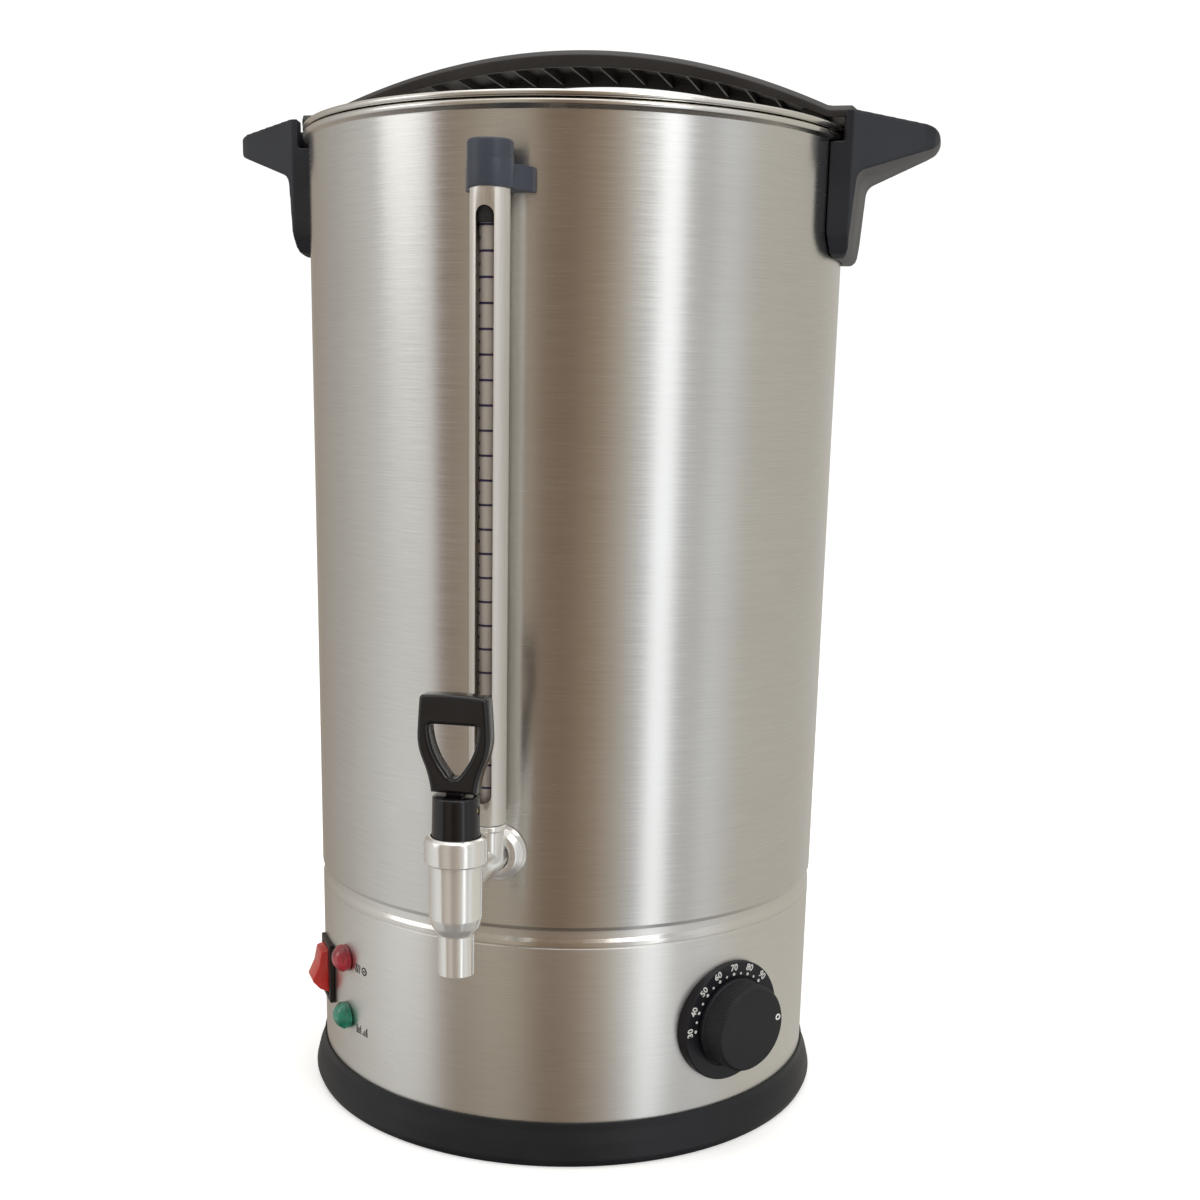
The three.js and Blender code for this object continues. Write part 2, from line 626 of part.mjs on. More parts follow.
function gaugeCap() {
  const cap = onGauge(rod(CAP_R, CAP_BOTTOM, CAP_TOP - 2.4, 20));
  const crown = onGauge(turned([
    [0, CAP_TOP - 3], [CAP_R, CAP_TOP - 3], [CAP_R, CAP_TOP - 2.4], [CAP_R - 2.4, CAP_TOP],
    [0, CAP_TOP],
  ], 20));
  const saddle = upright(outline([
    [-18, -150], [-18, -165], [-10, -177], [10, -177], [18, -165], [18, -150],
  ]), CAP_BOTTOM, 553);
  const bore = onGauge(turned([
    [0, 530], [GUARD_R + GAP, 530], [GUARD_R + GAP, GUARD_TOP + GAP], [6, GUARD_TOP + GAP],
    [6, 556], [0, 556],
  ], 20));
  return cut(join(cap, crown, saddle), wallClearance(500, 600), bore);
}

add('gauge_ring', onGauge(tube(GLASS_R + 0.5, 10, BOSS_TOP + GAP, 212, 24)), 'chrome');
add('gauge_guard', gaugeGuard(), 'brushed');
add('gauge_glass', onGauge(tube(4.3, GLASS_R, 200.3, 552, 16)), 'clear');
add('gauge_bottom_seal', onGauge(tube(SEAL_INNER, SEAL_OUTER, 212.3, 224, 16)), 'gloss_black');
add('gauge_top_seal', onGauge(tube(SEAL_INNER, SEAL_OUTER, 524, 546, 16)), 'gloss_black');
add('gauge_cap', gaugeCap(), 'slate');

// ---------------------------------------------------------------- handles

// Drawn as the handle on the +X side, then turned half round for the other.
function handleSide() {
  const side = new THREE.Shape();
  side.moveTo(150, 519.7);
  side.lineTo(164.5, 519.7);
  side.quadraticCurveTo(167, 521, 167.6, 526);
  side.lineTo(170.4, 561);
  side.quadraticCurveTo(170.8, 565.4, 175, 567);
  side.lineTo(209.6, 579.6);
  side.quadraticCurveTo(214.4, 582, 214, 587.2);
  side.quadraticCurveTo(213.4, 592, 206, 593.2);
  side.lineTo(168.5, HANDLE_TOP);
  side.lineTo(150, HANDLE_TOP);
  return side;
}

function handle() {
  const half = HANDLE_HALF;
  const plan = outline([
    [150, -half], [167, -half], [206, -20], [211.5, -15], [213.9, -9], [213.9, 9], [211.5, 15],
    [206, 20], [167, half], [150, half],
  ]);
  const front = outline([
    [-half, 610], [-half, 532], [-35, 522], [-24, 518], [24, 518], [35, 522], [half, 532],
    [half, 610],
  ]);
  const solid = overlap(
    across(handleSide(), -half, half), upright(plan, 510, 610), along(front, 150, 215));
  const wall = wallClearance(500, LEDGE_Z);
  const slot = rod(SLOT_R, LEDGE_Z - 0.01, 620, FINE);
  const pocketSpace = rod(POCKET_R, LEDGE_Z, 585.8, FINE);
  const pocket = overlap(pocketSpace, box([150, 190], [-27, 30], [LEDGE_Z, 585.8]));
  const entry = overlap(rod(POCKET_R, LEDGE_Z, 620, FINE), box([150, 190], [2.8, 30], [LEDGE_Z, 620]));
  const screwBores = [-1, 1].map((side) =>
    spin(facing(rod(1.9, 150, 176.5, 12), HANDLE_SCREW_Z, side * HANDLE_SCREW_X), 90));
  return cut(solid, wall, slot, pocket, entry, ...screwBores);
}

function handleScrew(x) {
  const screw = turned([
    [0, 155.2], [3.6, 155.2], [3.6, 157.2], [1.5, 157.2], [1.5, 176], [0, 176],
  ], 12);
  return facing(screw, HANDLE_SCREW_Z, x);
}

add('handle_right', handle(), 'moulded');
add('handle_left', handle(), 'moulded', 180);
handleScrewPlaces.forEach(({ azimuth, x }, i) => {
  const side = azimuth > 0 ? 'right' : 'left';
  add(`handle_screw_${side}_${i % 2 + 1}`, handleScrew(x), 'chrome', azimuth);
});

// ---------------------------------------------------------------- lid

const PLATE_R = 150.5;
const PLATE_THICKNESS = 2;
const POST = [136, 148]; // the posts that carry the bridge, near its ends
const POST_HALF = 24;
const LID_SCREW_X = 142;
const SKIN = 2.4; // thickness of the bridge's top and sides

const crest = (x) => BRIDGE_CREST - Math.min(Math.abs(x), BRIDGE_END) ** 2 / CREST_DROP;
const hem = (x) => BRIDGE_HEM - Math.min(Math.abs(x), BRIDGE_END) ** 2 / HEM_DROP;

// The bridge's cross-section: a channel that is open below, with bevelled top edges.
function bridgeRing(x) {
  const [outer, inner] = [BRIDGE_HALF, BRIDGE_HALF - SKIN];
  const [low, high] = [hem(x), crest(x)];
  return [
    [x, -outer, low], [x, -inner, low], [x, -inner, high - SKIN], [x, inner, high - SKIN],
    [x, inner, low], [x, outer, low], [x, outer, high - 3], [x, outer - 3, high],
    [x, 3 - outer, high], [x, -outer, high - 3],
  ];
}

function bridgeHook() {
  const sector = box([150, 190], [-30, 30], [582, 600.5]);
  const hook = overlap(tube(164, HOOK_R, 582, 600.5, FINE), sector);
  const footSector = box([150, 190], [4, 28], [582, 585.5]);
  return join(hook, overlap(tube(165, 178, 582, 585.5, FINE), footSector));
}

function lidBridge() {
  const stations = 16;
  const step = 2 * BRIDGE_END / stations;
  const places = Array.from({ length: stations + 1 }, (_, i) => -BRIDGE_END + i * step);
  const channel = loft([-170, ...places, 170].map(bridgeRing));
  const ribs = [];
  const inner = BRIDGE_HALF - SKIN + 0.5;
  for (let x = -120; x <= 120; x += RIB_PITCH) {
    ribs.push(box([x - 0.8, x + 0.8], [-inner, inner], [hem(x) + 1.5, crest(x) - SKIN + 0.5]));
  }
  const posts = [POST, [-POST[1], -POST[0]]].map((xs) =>
    box(xs, [-POST_HALF, POST_HALF], [LID_Z + PLATE_THICKNESS + GAP, crest(POST[1]) - 1]));
  const span = overlap(join(channel, ...ribs, ...posts), rod(HOOK_R, 570, 640, FINE));
  const screwBores = [-LID_SCREW_X, LID_SCREW_X].map((x) =>
    rod(1.9, 570, 590.5, 12).translate(x, 0, 0));
  return cut(join(span, bridgeHook(), spin(bridgeHook(), 180)), ...screwBores);
}

function lidPlate() {
  const plate = turned([
    [0, LID_Z], [PLATE_R, LID_Z], [PLATE_R, LID_Z + PLATE_THICKNESS], [0, LID_Z + PLATE_THICKNESS],
  ], ROUND);
  const holes = [-LID_SCREW_X, LID_SCREW_X].map((x) => rod(2.3, 570, 580, 12).translate(x, 0, 0));
  return cut(plate, ...holes);
}

add('lid_plate', lidPlate(), 'brushed');
add('lid_gasket', tube(151.2, 152.6, 572.5, 577.5, ROUND), 'silicone');
add('lid_bridge', lidBridge(), 'moulded');
[-LID_SCREW_X, LID_SCREW_X].forEach((x, i) => {
  add(`lid_screw_${i + 1}`, screwUpwards(4, 1.5, 571.5, 2.2, 590).translate(x, 0, 0), 'chrome');
});

export default kettle;
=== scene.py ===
# The looks of the electric brew kettle: finer meshes for every piece that shows, and a material for
# each. Lengths are millimetres in the shape code and become metres when a mesh is made.

import math

import bmesh
import bpy
from mathutils import Matrix, Vector


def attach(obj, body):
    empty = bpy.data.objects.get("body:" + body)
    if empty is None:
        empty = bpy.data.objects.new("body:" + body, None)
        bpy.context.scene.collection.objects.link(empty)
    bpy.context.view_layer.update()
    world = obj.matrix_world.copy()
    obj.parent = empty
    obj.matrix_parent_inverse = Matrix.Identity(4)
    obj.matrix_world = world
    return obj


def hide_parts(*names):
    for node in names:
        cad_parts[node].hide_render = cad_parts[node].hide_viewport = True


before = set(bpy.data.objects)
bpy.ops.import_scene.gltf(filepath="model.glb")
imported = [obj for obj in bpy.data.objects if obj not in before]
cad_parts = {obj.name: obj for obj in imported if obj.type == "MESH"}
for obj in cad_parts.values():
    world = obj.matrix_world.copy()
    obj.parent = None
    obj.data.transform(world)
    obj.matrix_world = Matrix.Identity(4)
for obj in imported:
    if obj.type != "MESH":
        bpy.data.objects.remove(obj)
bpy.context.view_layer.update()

MM = 0.001
ROUND = 192  # steps round a large piece
SMALL = 64  # steps round a small piece

# ---------------------------------------------------------------- driving dimensions

SHELL_R = 160
SHELL_BOTTOM = 144.3
SHEET = 0.8
RIM_TOP = 590.6
TANK_R = 154
TANK_FLOOR = 164
SKIRT_R = 159.7
NECK_R = 158.4
SHOULDER = 134.4
BASE_R = 166.7
BASE_HEIGHT = 26

TAP_Y = -235.8
SHANK_Z = 190
LEVER_PIVOT = 233.7
GAUGE_Y = -180.6
GUARD_R = 10.2
GUARD_INNER = 9.2
SLOT_HALF = 4.8
GLASS_R = 5.5
SLOT_TOP = 531.9
SLOT_BOTTOM = 225
CAP_BOTTOM = 540.8
CAP_TOP = 563.6

DIAL_AZIMUTH = 52
DIAL_Z = 78.6
LAMP_AZIMUTH = -44
LAMP_Z = {"red": 99, "green": 61.3}
SWITCH_AZIMUTH = -57
SWITCH_Z = 80
INLET_AZIMUTH = 180
INLET_Z = 60

LITRES = 25
LITRE_PITCH = 12.62
TOP_MARK_Z = 523.2

# ---------------------------------------------------------------- camera, light and floor

CAMERA_PLACE = (0.2437, -0.9774, 0.4428)
CAMERA_HEADING = 12.81  # degrees round from looking along +Y
CAMERA_TILT = 76.64
CAMERA_ROLL = 1.21
CAMERA_LENS = 47.18
CAMERA_SHIFT_Y = 0.138


def add_camera():
    data = bpy.data.cameras.new("camera")
    data.lens = CAMERA_LENS
    data.sensor_width = 36
    data.shift_y = CAMERA_SHIFT_Y
    data.clip_start = 0.01
    camera = bpy.data.objects.new("camera", data)
    turns = [(CAMERA_HEADING, "Z"), (CAMERA_TILT, "X"), (CAMERA_ROLL, "Z")]
    matrix = Matrix.Translation(CAMERA_PLACE)
    for angle, axis in turns:
        matrix = matrix @ Matrix.Rotation(math.radians(angle), 4, axis)
    camera.matrix_world = matrix
    bpy.context.collection.objects.link(camera)
    bpy.context.scene.camera = camera


class Graph:
    """A short way to write a node tree."""

    def __init__(self, tree):
        self.tree = tree
        tree.nodes.clear()

    def node(self, kind, links=None, **settings):
        node = self.tree.nodes.new("ShaderNode" + kind)
        for key, value in settings.items():
            setattr(node, key, value)
        for socket, value in (links or {}).items():
            self.feed(node.inputs[socket], value)
        return node

    def feed(self, socket, value):
        if isinstance(value, bpy.types.NodeSocket):
            self.tree.links.new(value, socket)
        elif isinstance(value, bpy.types.Node):
            self.tree.links.new(value.outputs[0], socket)
        else:
            socket.default_value = value

    def math(self, operation, a, b=0.0):
        return self.node("Math", {0: a, 1: b}, operation=operation)

    def blend(self, kind, factor, a, b):
        """Mixes two colours. A Mix node's colour sockets are its inputs 6 and 7 and output 2."""
        return self.node("Mix", {0: factor, 6: a, 7: b}, data_type="RGBA", blend_type=kind).outputs[2]

    def ramp(self, factor, stops):
        """stops are (position, colour), in order."""
        node = self.node("ValToRGB", {0: factor})
        elements = node.color_ramp.elements
        elements.remove(elements[-1])
        elements[0].position = stops[0][0]
        elements[0].color = (*stops[0][1], 1)
        for position, colour in stops[1:]:
            elements.new(position).color = (*colour, 1)
        return node


# The studio as the steel mirrors it: compass direction in degrees from the front, and its light.
STUDIO = [
    (-180, (0.56, 0.54, 0.50)),
    (-140, (0.36, 0.31, 0.26)),
    (-106, (0.50, 0.48, 0.45)),
    (-70, (0.74, 0.735, 0.72)),
    (-49, (0.76, 0.755, 0.745)),
    (-44, (0.26, 0.20, 0.15)),
    (-20, (0.46, 0.41, 0.34)),
    (-8, (0.44, 0.39, 0.32)),
    (2, (0.24, 0.175, 0.125)),
    (12, (0.22, 0.16, 0.115)),
    (24, (0.33, 0.25, 0.18)),
    (36, (0.48, 0.44, 0.38)),
    (46, (0.66, 0.67, 0.69)),
    (50, (1.4, 1.45, 1.5)),
    (57, (1.4, 1.45, 1.5)),
    (61, (0.62, 0.62, 0.62)),
    (71, (0.60, 0.60, 0.60)),
    (76, (0.74, 0.75, 0.76)),
    (82, (0.74, 0.75, 0.76)),
    (95, (0.60, 0.58, 0.53)),
    (140, (0.56, 0.54, 0.49)),
    (180, (0.56, 0.54, 0.50)),
]


def add_world():
    world = bpy.data.worlds.new("studio")
    bpy.context.scene.world = world
    world.use_nodes = True
    graph = Graph(world.node_tree)
    direction = graph.node("TexCoord").outputs["Generated"]
    split = graph.node("SeparateXYZ", {0: direction})
    forward = graph.math("MULTIPLY", split.outputs["Y"], -1.0)
    compass = graph.math("ARCTAN2", split.outputs["X"], forward)
    place = graph.node("MapRange", {"Value": compass, "From Min": -math.pi, "From Max": math.pi})
    stops = [((angle + 180) / 360, colour) for angle, colour in STUDIO]
    walls = graph.ramp(place, stops)
    ceiling = graph.node("MapRange", {"Value": split.outputs["Z"], "From Min": 0.55, "From Max": 0.9})
    below = graph.node("MapRange", {"Value": split.outputs["Z"], "From Min": -0.5, "From Max": -0.85})
    room = graph.blend("MIX", ceiling, walls, (1.1, 1.08, 1.05, 1))
    room = graph.blend("MIX", below, room, (0.06, 0.05, 0.045, 1))
    seen = graph.node("Background", {"Color": (1, 1, 1, 1), "Strength": 1.05})
    lit = graph.node("Background", {"Color": room, "Strength": 1.0})
    camera_ray = graph.node("LightPath").outputs["Is Camera Ray"]
    both = graph.node("MixShader", {0: camera_ray, 1: lit, 2: seen})
    graph.node("OutputWorld", {"Surface": both})


def add_lights():
    for name, place, size, power, colour in (
        ("key", (1.6, -1.5, 1.7), 1.0, 8, (1.0, 0.99, 0.97)),
        ("fill", (-1.9, -1.1, 1.2), 1.2, 4, (0.97, 0.98, 1.0)),
        ("top", (0.0, 0.1, 2.3), 1.6, 8, (1, 1, 1)),
    ):
        data = bpy.data.lights.new(name, "AREA")
        data.shape = "DISK"
        data.size = size
        data.energy = power
        data.color = colour
        light = bpy.data.objects.new(name, data)
        light.location = place
        aim = Vector((0, 0, 0.3)) - Vector(place)
        light.rotation_euler = aim.to_track_quat("-Z", "Y").to_euler()
        bpy.context.collection.objects.link(light)


def add_floor():
    bm = bmesh.new()
    bmesh.ops.create_grid(bm, x_segments=1, y_segments=1, size=30)
    mesh = bpy.data.meshes.new("floor")
    bm.to_mesh(mesh)
    bm.free()
    floor = bpy.data.objects.new("floor", mesh)
    bpy.context.collection.objects.link(floor)
    material = bpy.data.materials.new("floor")
    material.use_nodes = True
    graph = Graph(material.node_tree)
    paint = graph.node("BsdfDiffuse", {"Color": (0.9, 0.9, 0.9, 1)})
    glow = graph.node("Emission", {"Color": (1, 1, 1, 1), "Strength": 0.42})
    both = graph.node("AddShader", {0: paint, 1: glow})
    # the steel mirrors the studio's walls rather than the white floor
    mirrored = graph.node("LightPath").outputs["Is Glossy Ray"]
    clear = graph.node("BsdfTransparent")
    graph.node("OutputMaterial", {"Surface": graph.node("MixShader", {0: mirrored, 1: both, 2: clear})})
    mesh.materials.append(material)


bpy.context.scene.view_settings.view_transform = "Standard"
add_camera()
add_world()
add_lights()
add_floor()

# ---------------------------------------------------------------- materials


def begin(name, colour, roughness, metallic=0.0, **sockets):
    """A material with a Principled shader whose even values are set on its own sockets."""
    material = bpy.data.materials.new(name)
    material.use_nodes = True
    graph = Graph(material.node_tree)
    shader = graph.node("BsdfPrincipled")
    shader.inputs["Base Color"].default_value = (*colour, 1)
    shader.inputs["Roughness"].default_value = roughness
    shader.inputs["Metallic"].default_value = metallic
    for socket, value in sockets.items():
        shader.inputs[socket.replace("_", " ")].default_value = value
    graph.node("OutputMaterial", {"Surface": shader})
    return material, graph, shader


def noise(graph, vector, scale, detail=3.0):
    return graph.node("TexNoise", {"Vector": vector, "Scale": scale, "Detail": detail}).outputs[0]


def roughen(graph, shader, height, strength, distance):
    bump = graph.node("Bump", {"Height": height, "Strength": strength, "Distance": distance})
    graph.feed(shader.inputs["Normal"], bump)


def spread(graph, value, low, high):
    """Takes a noise value round 0.5 to the range low to high."""
    return graph.node("MapRange", {"Value": value, "From Min": 0.25, "From Max": 0.75,
                                   "To Min": low, "To Max": high})


def grain_vector(graph, grain, stretch=60.0):
    """Coordinates in which brushed streaks run round Z, up Z or in rings on a flat plate."""
    place = graph.node("TexCoord").outputs["Object"]
    split = graph.node("SeparateXYZ", {0: place})
    x, y, z = split.outputs
    angle = graph.math("ARCTAN2", x, y)
    if grain == "round":
        along = graph.math("MULTIPLY", angle, SHELL_R * MM / stretch)
        return graph.node("CombineXYZ", {0: along, 1: 0.0, 2: z})
    if grain == "up":
        low = graph.math("MULTIPLY", z, 1 / stretch)
        return graph.node("CombineXYZ", {0: x, 1: y, 2: low})
    flat = graph.node("CombineXYZ", {0: x, 1: y, 2: 0.0})
    radius = graph.node("VectorMath", {0: flat}, operation="LENGTH").outputs["Value"]
    along = graph.math("MULTIPLY", angle, 0.1 / stretch)
    return graph.node("CombineXYZ", {0: along, 1: 0.0, 2: radius})


def brushed(name, grain, colour=(0.70, 0.69, 0.665), roughness=0.24, turn=0.25, depth=1.0):
    material, graph, shader = begin(name, colour, roughness, 1.0, Anisotropic=0.8,
                                    Anisotropic_Rotation=turn)
    vector = grain_vector(graph, grain)
    fine = noise(graph, vector, 2600.0, 2.0)
    coarse = noise(graph, vector, 420.0, 3.0)
    cloud = noise(graph, graph.node("TexCoord").outputs["Object"], 9.0, 2.0)
    streaks = graph.math("ADD", graph.math("MULTIPLY", fine, 0.75), graph.math("MULTIPLY", coarse, 0.25))
    dark = tuple(c * 0.93 for c in colour)
    light = tuple(min(1.0, c * 1.06) for c in colour)
    tone = graph.ramp(streaks, [(0.3, dark), (0.7, light)])
    patches = graph.ramp(cloud, [(0.3, (0.95, 0.94, 0.93)), (0.7, (1, 1, 1))])
    graph.feed(shader.inputs["Base Color"], graph.blend("MULTIPLY", 1.0, tone, patches))
    graph.feed(shader.inputs["Roughness"], spread(graph, streaks, roughness - 0.04, roughness + 0.05))
    tangent = graph.node("Tangent", direction_type="RADIAL", axis="Z")
    graph.feed(shader.inputs["Tangent"], tangent)
    roughen(graph, shader, streaks, 0.08 * depth, 0.0004)
    return material


def polished(name, colour, roughness, metallic=1.0):
    material, graph, shader = begin(name, colour, roughness, metallic)
    place = graph.node("TexCoord").outputs["Object"]
    smear = noise(graph, place, 60.0, 4.0)
    graph.feed(shader.inputs["Roughness"], spread(graph, smear, roughness * 0.6, roughness * 1.8))
    roughen(graph, shader, noise(graph, place, 140.0, 2.0), 0.03, 0.0004)
    return material


def moulded(name, colour, roughness, pebble=900.0, depth=0.10, **sockets):
    """Moulded plastic: a faint pebble, worn patches and slightly paler high spots."""
    shine = {"Specular_IOR_Level": 0.32, **sockets}
    material, graph, shader = begin(name, colour, roughness, **shine)
    place = graph.node("TexCoord").outputs["Object"]
    wear = noise(graph, place, 28.0, 4.0)
    light = tuple(c * 1.22 + 0.002 for c in colour)
    dark = tuple(c * 0.86 for c in colour)
    graph.feed(shader.inputs["Base Color"], graph.ramp(wear, [(0.32, dark), (0.68, light)]))
    graph.feed(shader.inputs["Roughness"], spread(graph, wear, roughness - 0.05, roughness + 0.06))
    roughen(graph, shader, noise(graph, place, pebble, 2.0), depth, 0.0003)
    return material


def tinted(name, colour, glow):
    """A tinted lens, slightly cloudy."""
    material, graph, shader = begin(name, colour, 0.12, Coat_Weight=0.6, Coat_Roughness=0.04,
                                    Transmission_Weight=0.25, IOR=1.49, Specular_IOR_Level=0.6)
    place = graph.node("TexCoord").outputs["Object"]
    cloudy = noise(graph, place, 160.0, 2.0)
    dark = tuple(c * 0.75 for c in colour)
    graph.feed(shader.inputs["Base Color"], graph.ramp(cloudy, [(0.35, dark), (0.65, glow)]))
    roughen(graph, shader, noise(graph, place, 320.0, 2.0), 0.05, 0.0004)
    return material


def sight_glass():
    material, graph, shader = begin("gauge_glass", (0.64, 0.58, 0.52), 0.10,
                                    Transmission_Weight=0.45, IOR=1.47)
    place = graph.node("TexCoord").outputs["Object"]
    roughen(graph, shader, noise(graph, place, 90.0, 2.0), 0.04, 0.0004)
    return material


def printed(name, colour):
    material, graph, shader = begin(name, colour, 0.5)
    place = graph.node("TexCoord").outputs["Object"]
    patchy = noise(graph, place, 1400.0, 3.0)
    thin = tuple(c * 0.8 for c in colour)
    graph.feed(shader.inputs["Base Color"], graph.ramp(patchy, [(0.3, thin), (0.6, colour)]))
    roughen(graph, shader, patchy, 0.1, 0.0001)
    return material


STEEL = brushed("brushed_steel", "round")
STEEL_UP = brushed("brushed_steel_up", "up", colour=(0.80, 0.77, 0.72), roughness=0.34, turn=0.0)
SKIRT_STEEL = brushed("skirt_steel", "round", colour=(0.80, 0.79, 0.76), roughness=0.36)
STEEL_FLAT = brushed("brushed_steel_flat", "rings", roughness=0.32)
TANK_STEEL = brushed("tank_steel", "round", colour=(0.70, 0.68, 0.65), roughness=0.26)
RIM_STEEL = polished("rolled_rim", (0.76, 0.74, 0.70), 0.16)
CHROME = polished("chrome", (0.80, 0.79, 0.76), 0.13, 0.75)
ZINC = polished("zinc", (0.66, 0.67, 0.69), 0.24)
ALUMINIUM = polished("aluminium", (0.60, 0.61, 0.62), 0.42)
BRASS = polished("brass", (0.72, 0.53, 0.25), 0.28)
HANDLE_PLASTIC = moulded("handle_plastic", (0.016, 0.018, 0.024), 0.42)
BRIDGE_PLASTIC = moulded("bridge_plastic", (0.026, 0.023, 0.022), 0.42)
BASE_PLASTIC = moulded("base_plastic", (0.009, 0.010, 0.013), 0.46, pebble=1200.0)
DIAL_PLASTIC = moulded("dial_plastic", (0.008, 0.008, 0.012), 0.40, pebble=1500.0)
KNOB_PLASTIC = moulded("knob_plastic", (0.010, 0.011, 0.014), 0.5, pebble=1500.0)
SWITCH_PLASTIC = moulded("switch_plastic", (0.018, 0.012, 0.010), 0.4)
CAP_PLASTIC = moulded("cap_plastic", (0.036, 0.042, 0.058), 0.4)
GLOSS_PLASTIC = moulded("gloss_plastic", (0.006, 0.005, 0.006), 0.13, pebble=260.0, depth=0.02,
                        Coat_Weight=0.25, Coat_Roughness=0.05)
RED_PLASTIC = moulded("red_rocker", (0.50, 0.022, 0.016), 0.22, pebble=300.0, depth=0.03,
                      Coat_Weight=0.4, Coat_Roughness=0.06)
RED_LENS = tinted("red_lens", (0.32, 0.012, 0.03), (0.46, 0.03, 0.05))
GREEN_LENS = tinted("green_lens", (0.01, 0.22, 0.13), (0.03, 0.34, 0.22))
SILICONE = moulded("silicone", (0.46, 0.46, 0.45), 0.6, Subsurface_Weight=0.15)
RUBBER = moulded("seal_rubber", (0.016, 0.016, 0.017), 0.65)
CERAMIC = moulded("ceramic", (0.72, 0.70, 0.65), 0.55)
HEATER_TUBE = polished("heater_tube", (0.38, 0.34, 0.30), 0.38)
GLASS = sight_glass()
WHITE_PRINT = printed("white_print", (0.72, 0.72, 0.70))
DARK_PRINT = printed("dark_print", (0.035, 0.022, 0.018))
SCALE_INK = printed("scale_ink", (0.022, 0.014, 0.06))

# ---------------------------------------------------------------- shape helpers


def fillet(points, closed=False, steps=5):
    """Rounds the corners of (a, b, radius) points. A point with no radius stays sharp."""
    rounded = []
    last = len(points) - 1
    for i, (a, b, *radius) in enumerate(points):
        here = Vector((a, b))
        if not radius or (not closed and i in (0, last)):
            rounded.append(here)
            continue
        before = Vector(points[i - 1][:2]) - here
        after = Vector(points[(i + 1) % len(points)][:2]) - here
        half = before.angle(after) / 2
        reach = min(radius[0] / math.tan(half), before.length * 0.49, after.length * 0.49)
        before.normalize()
        after.normalize()
        true_radius = reach * math.tan(half)
        centre = here + (before + after).normalized() * (true_radius / math.sin(half))
        start = here + before * reach - centre
        end = here + after * reach - centre
        sweep = start.angle(end)
        for k in range(steps + 1):
            t = k / steps
            arm = start * math.sin((1 - t) * sweep) + end * math.sin(t * sweep)
            rounded.append(centre + arm / math.sin(sweep))
    return rounded


def curve_points(start, control, end, steps=10):
    """Points on a quadratic curve, without its start."""
    a, b, c = Vector(start), Vector(control), Vector(end)
    out = []
    for k in range(1, steps + 1):
        t = k / steps
        out.append(tuple(a * (1 - t) ** 2 + b * 2 * t * (1 - t) + c * t * t))
    return out


def lathe(profile, closed=False, steps=SMALL, ripple=None):
    """A bmesh turned about Z from (radius, height) points. ripple(index, angle) adds to a radius."""
    bm = bmesh.new()
    angles = [2 * math.pi * k / steps for k in range(steps)]
    rings = []
    for i, (radius, height) in enumerate(profile):
        if radius < 1e-6:
            rings.append([bm.verts.new((0, 0, height * MM))])
            continue
        ring = []
        for angle in angles:
            r = (radius + (ripple(i, angle) if ripple else 0)) * MM
            ring.append(bm.verts.new((r * math.sin(angle), -r * math.cos(angle), height * MM)))
        rings.append(ring)
    pairs = list(zip(rings, rings[1:]))
    if closed:
        pairs.append((rings[-1], rings[0]))
    for low, high in pairs:
        for k in range(steps):
            after = (k + 1) % steps
            corners = [low[k % len(low)], low[after % len(low)],
                       high[after % len(high)], high[k % len(high)]]
            corners = list(dict.fromkeys(corners))
            if len(corners) > 2:
                bm.faces.new(corners)
    bmesh.ops.recalc_face_normals(bm, faces=bm.faces)
    return bm


def turned(points, closed=False, steps=SMALL, corner_steps=5, ripple=None):
    return lathe(fillet(points, closed, corner_steps), closed, steps, ripple)


def prism(points, low, high, plane="XY"):
    """A bmesh of an outline pushed from low to high along the axis that its plane lacks."""
    places = {
        "XY": lambda a, b, c: (a, b, c),
        "XZ": lambda a, b, c: (a, c, b),
        "YZ": lambda a, b, c: (c, a, b),
    }[plane]
    bm = bmesh.new()
    bottom = [bm.verts.new(Vector(places(p[0], p[1], low)) * MM) for p in points]
    top = [bm.verts.new(Vector(places(p[0], p[1], high)) * MM) for p in points]
    bm.faces.new(bottom)
    bm.faces.new(top)
    for i in range(len(points)):
        j = (i + 1) % len(points)
        bm.faces.new([bottom[i], bottom[j], top[j], top[i]])
    bmesh.ops.recalc_face_normals(bm, faces=bm.faces)
    return bm


def block(xs, ys, zs):
    corners = [(xs[0], ys[0]), (xs[1], ys[0]), (xs[1], ys[1]), (xs[0], ys[1])]
    return prism(corners, zs[0], zs[1])


def moved(bm, x=0.0, y=0.0, z=0.0):
    bmesh.ops.translate(bm, verts=bm.verts, vec=Vector((x, y, z)) * MM)
    return bm


def rotated(bm, degrees, axis):
    turn = Matrix.Rotation(math.radians(degrees), 3, axis)
    bmesh.ops.rotate(bm, verts=bm.verts, cent=(0, 0, 0), matrix=turn)
    return bm


def facing(bm, z, x=0.0):
    """Lays a piece turned about Z on its side, looking out of the front at height z."""
    return moved(rotated(bm, 90, "X"), x=x, z=z)


def joined(*parts):
    whole = bmesh.new()
    for part in parts:
        mesh = bpy.data.meshes.new("part")
        part.to_mesh(mesh)
        part.free()
        whole.from_mesh(mesh)
        bpy.data.meshes.remove(mesh)
    return whole


def linked(name, bm):
    mesh = bpy.data.meshes.new(name)
    bm.to_mesh(mesh)
    bm.free()
    obj = bpy.data.objects.new(name, mesh)
    bpy.context.collection.objects.link(obj)
    return obj


def taken(obj):
    """A bmesh of an object's shape. The object itself is spent."""
    bm = bmesh.new()
    bm.from_mesh(obj.data)
    bpy.data.meshes.remove(obj.data)
    return bm


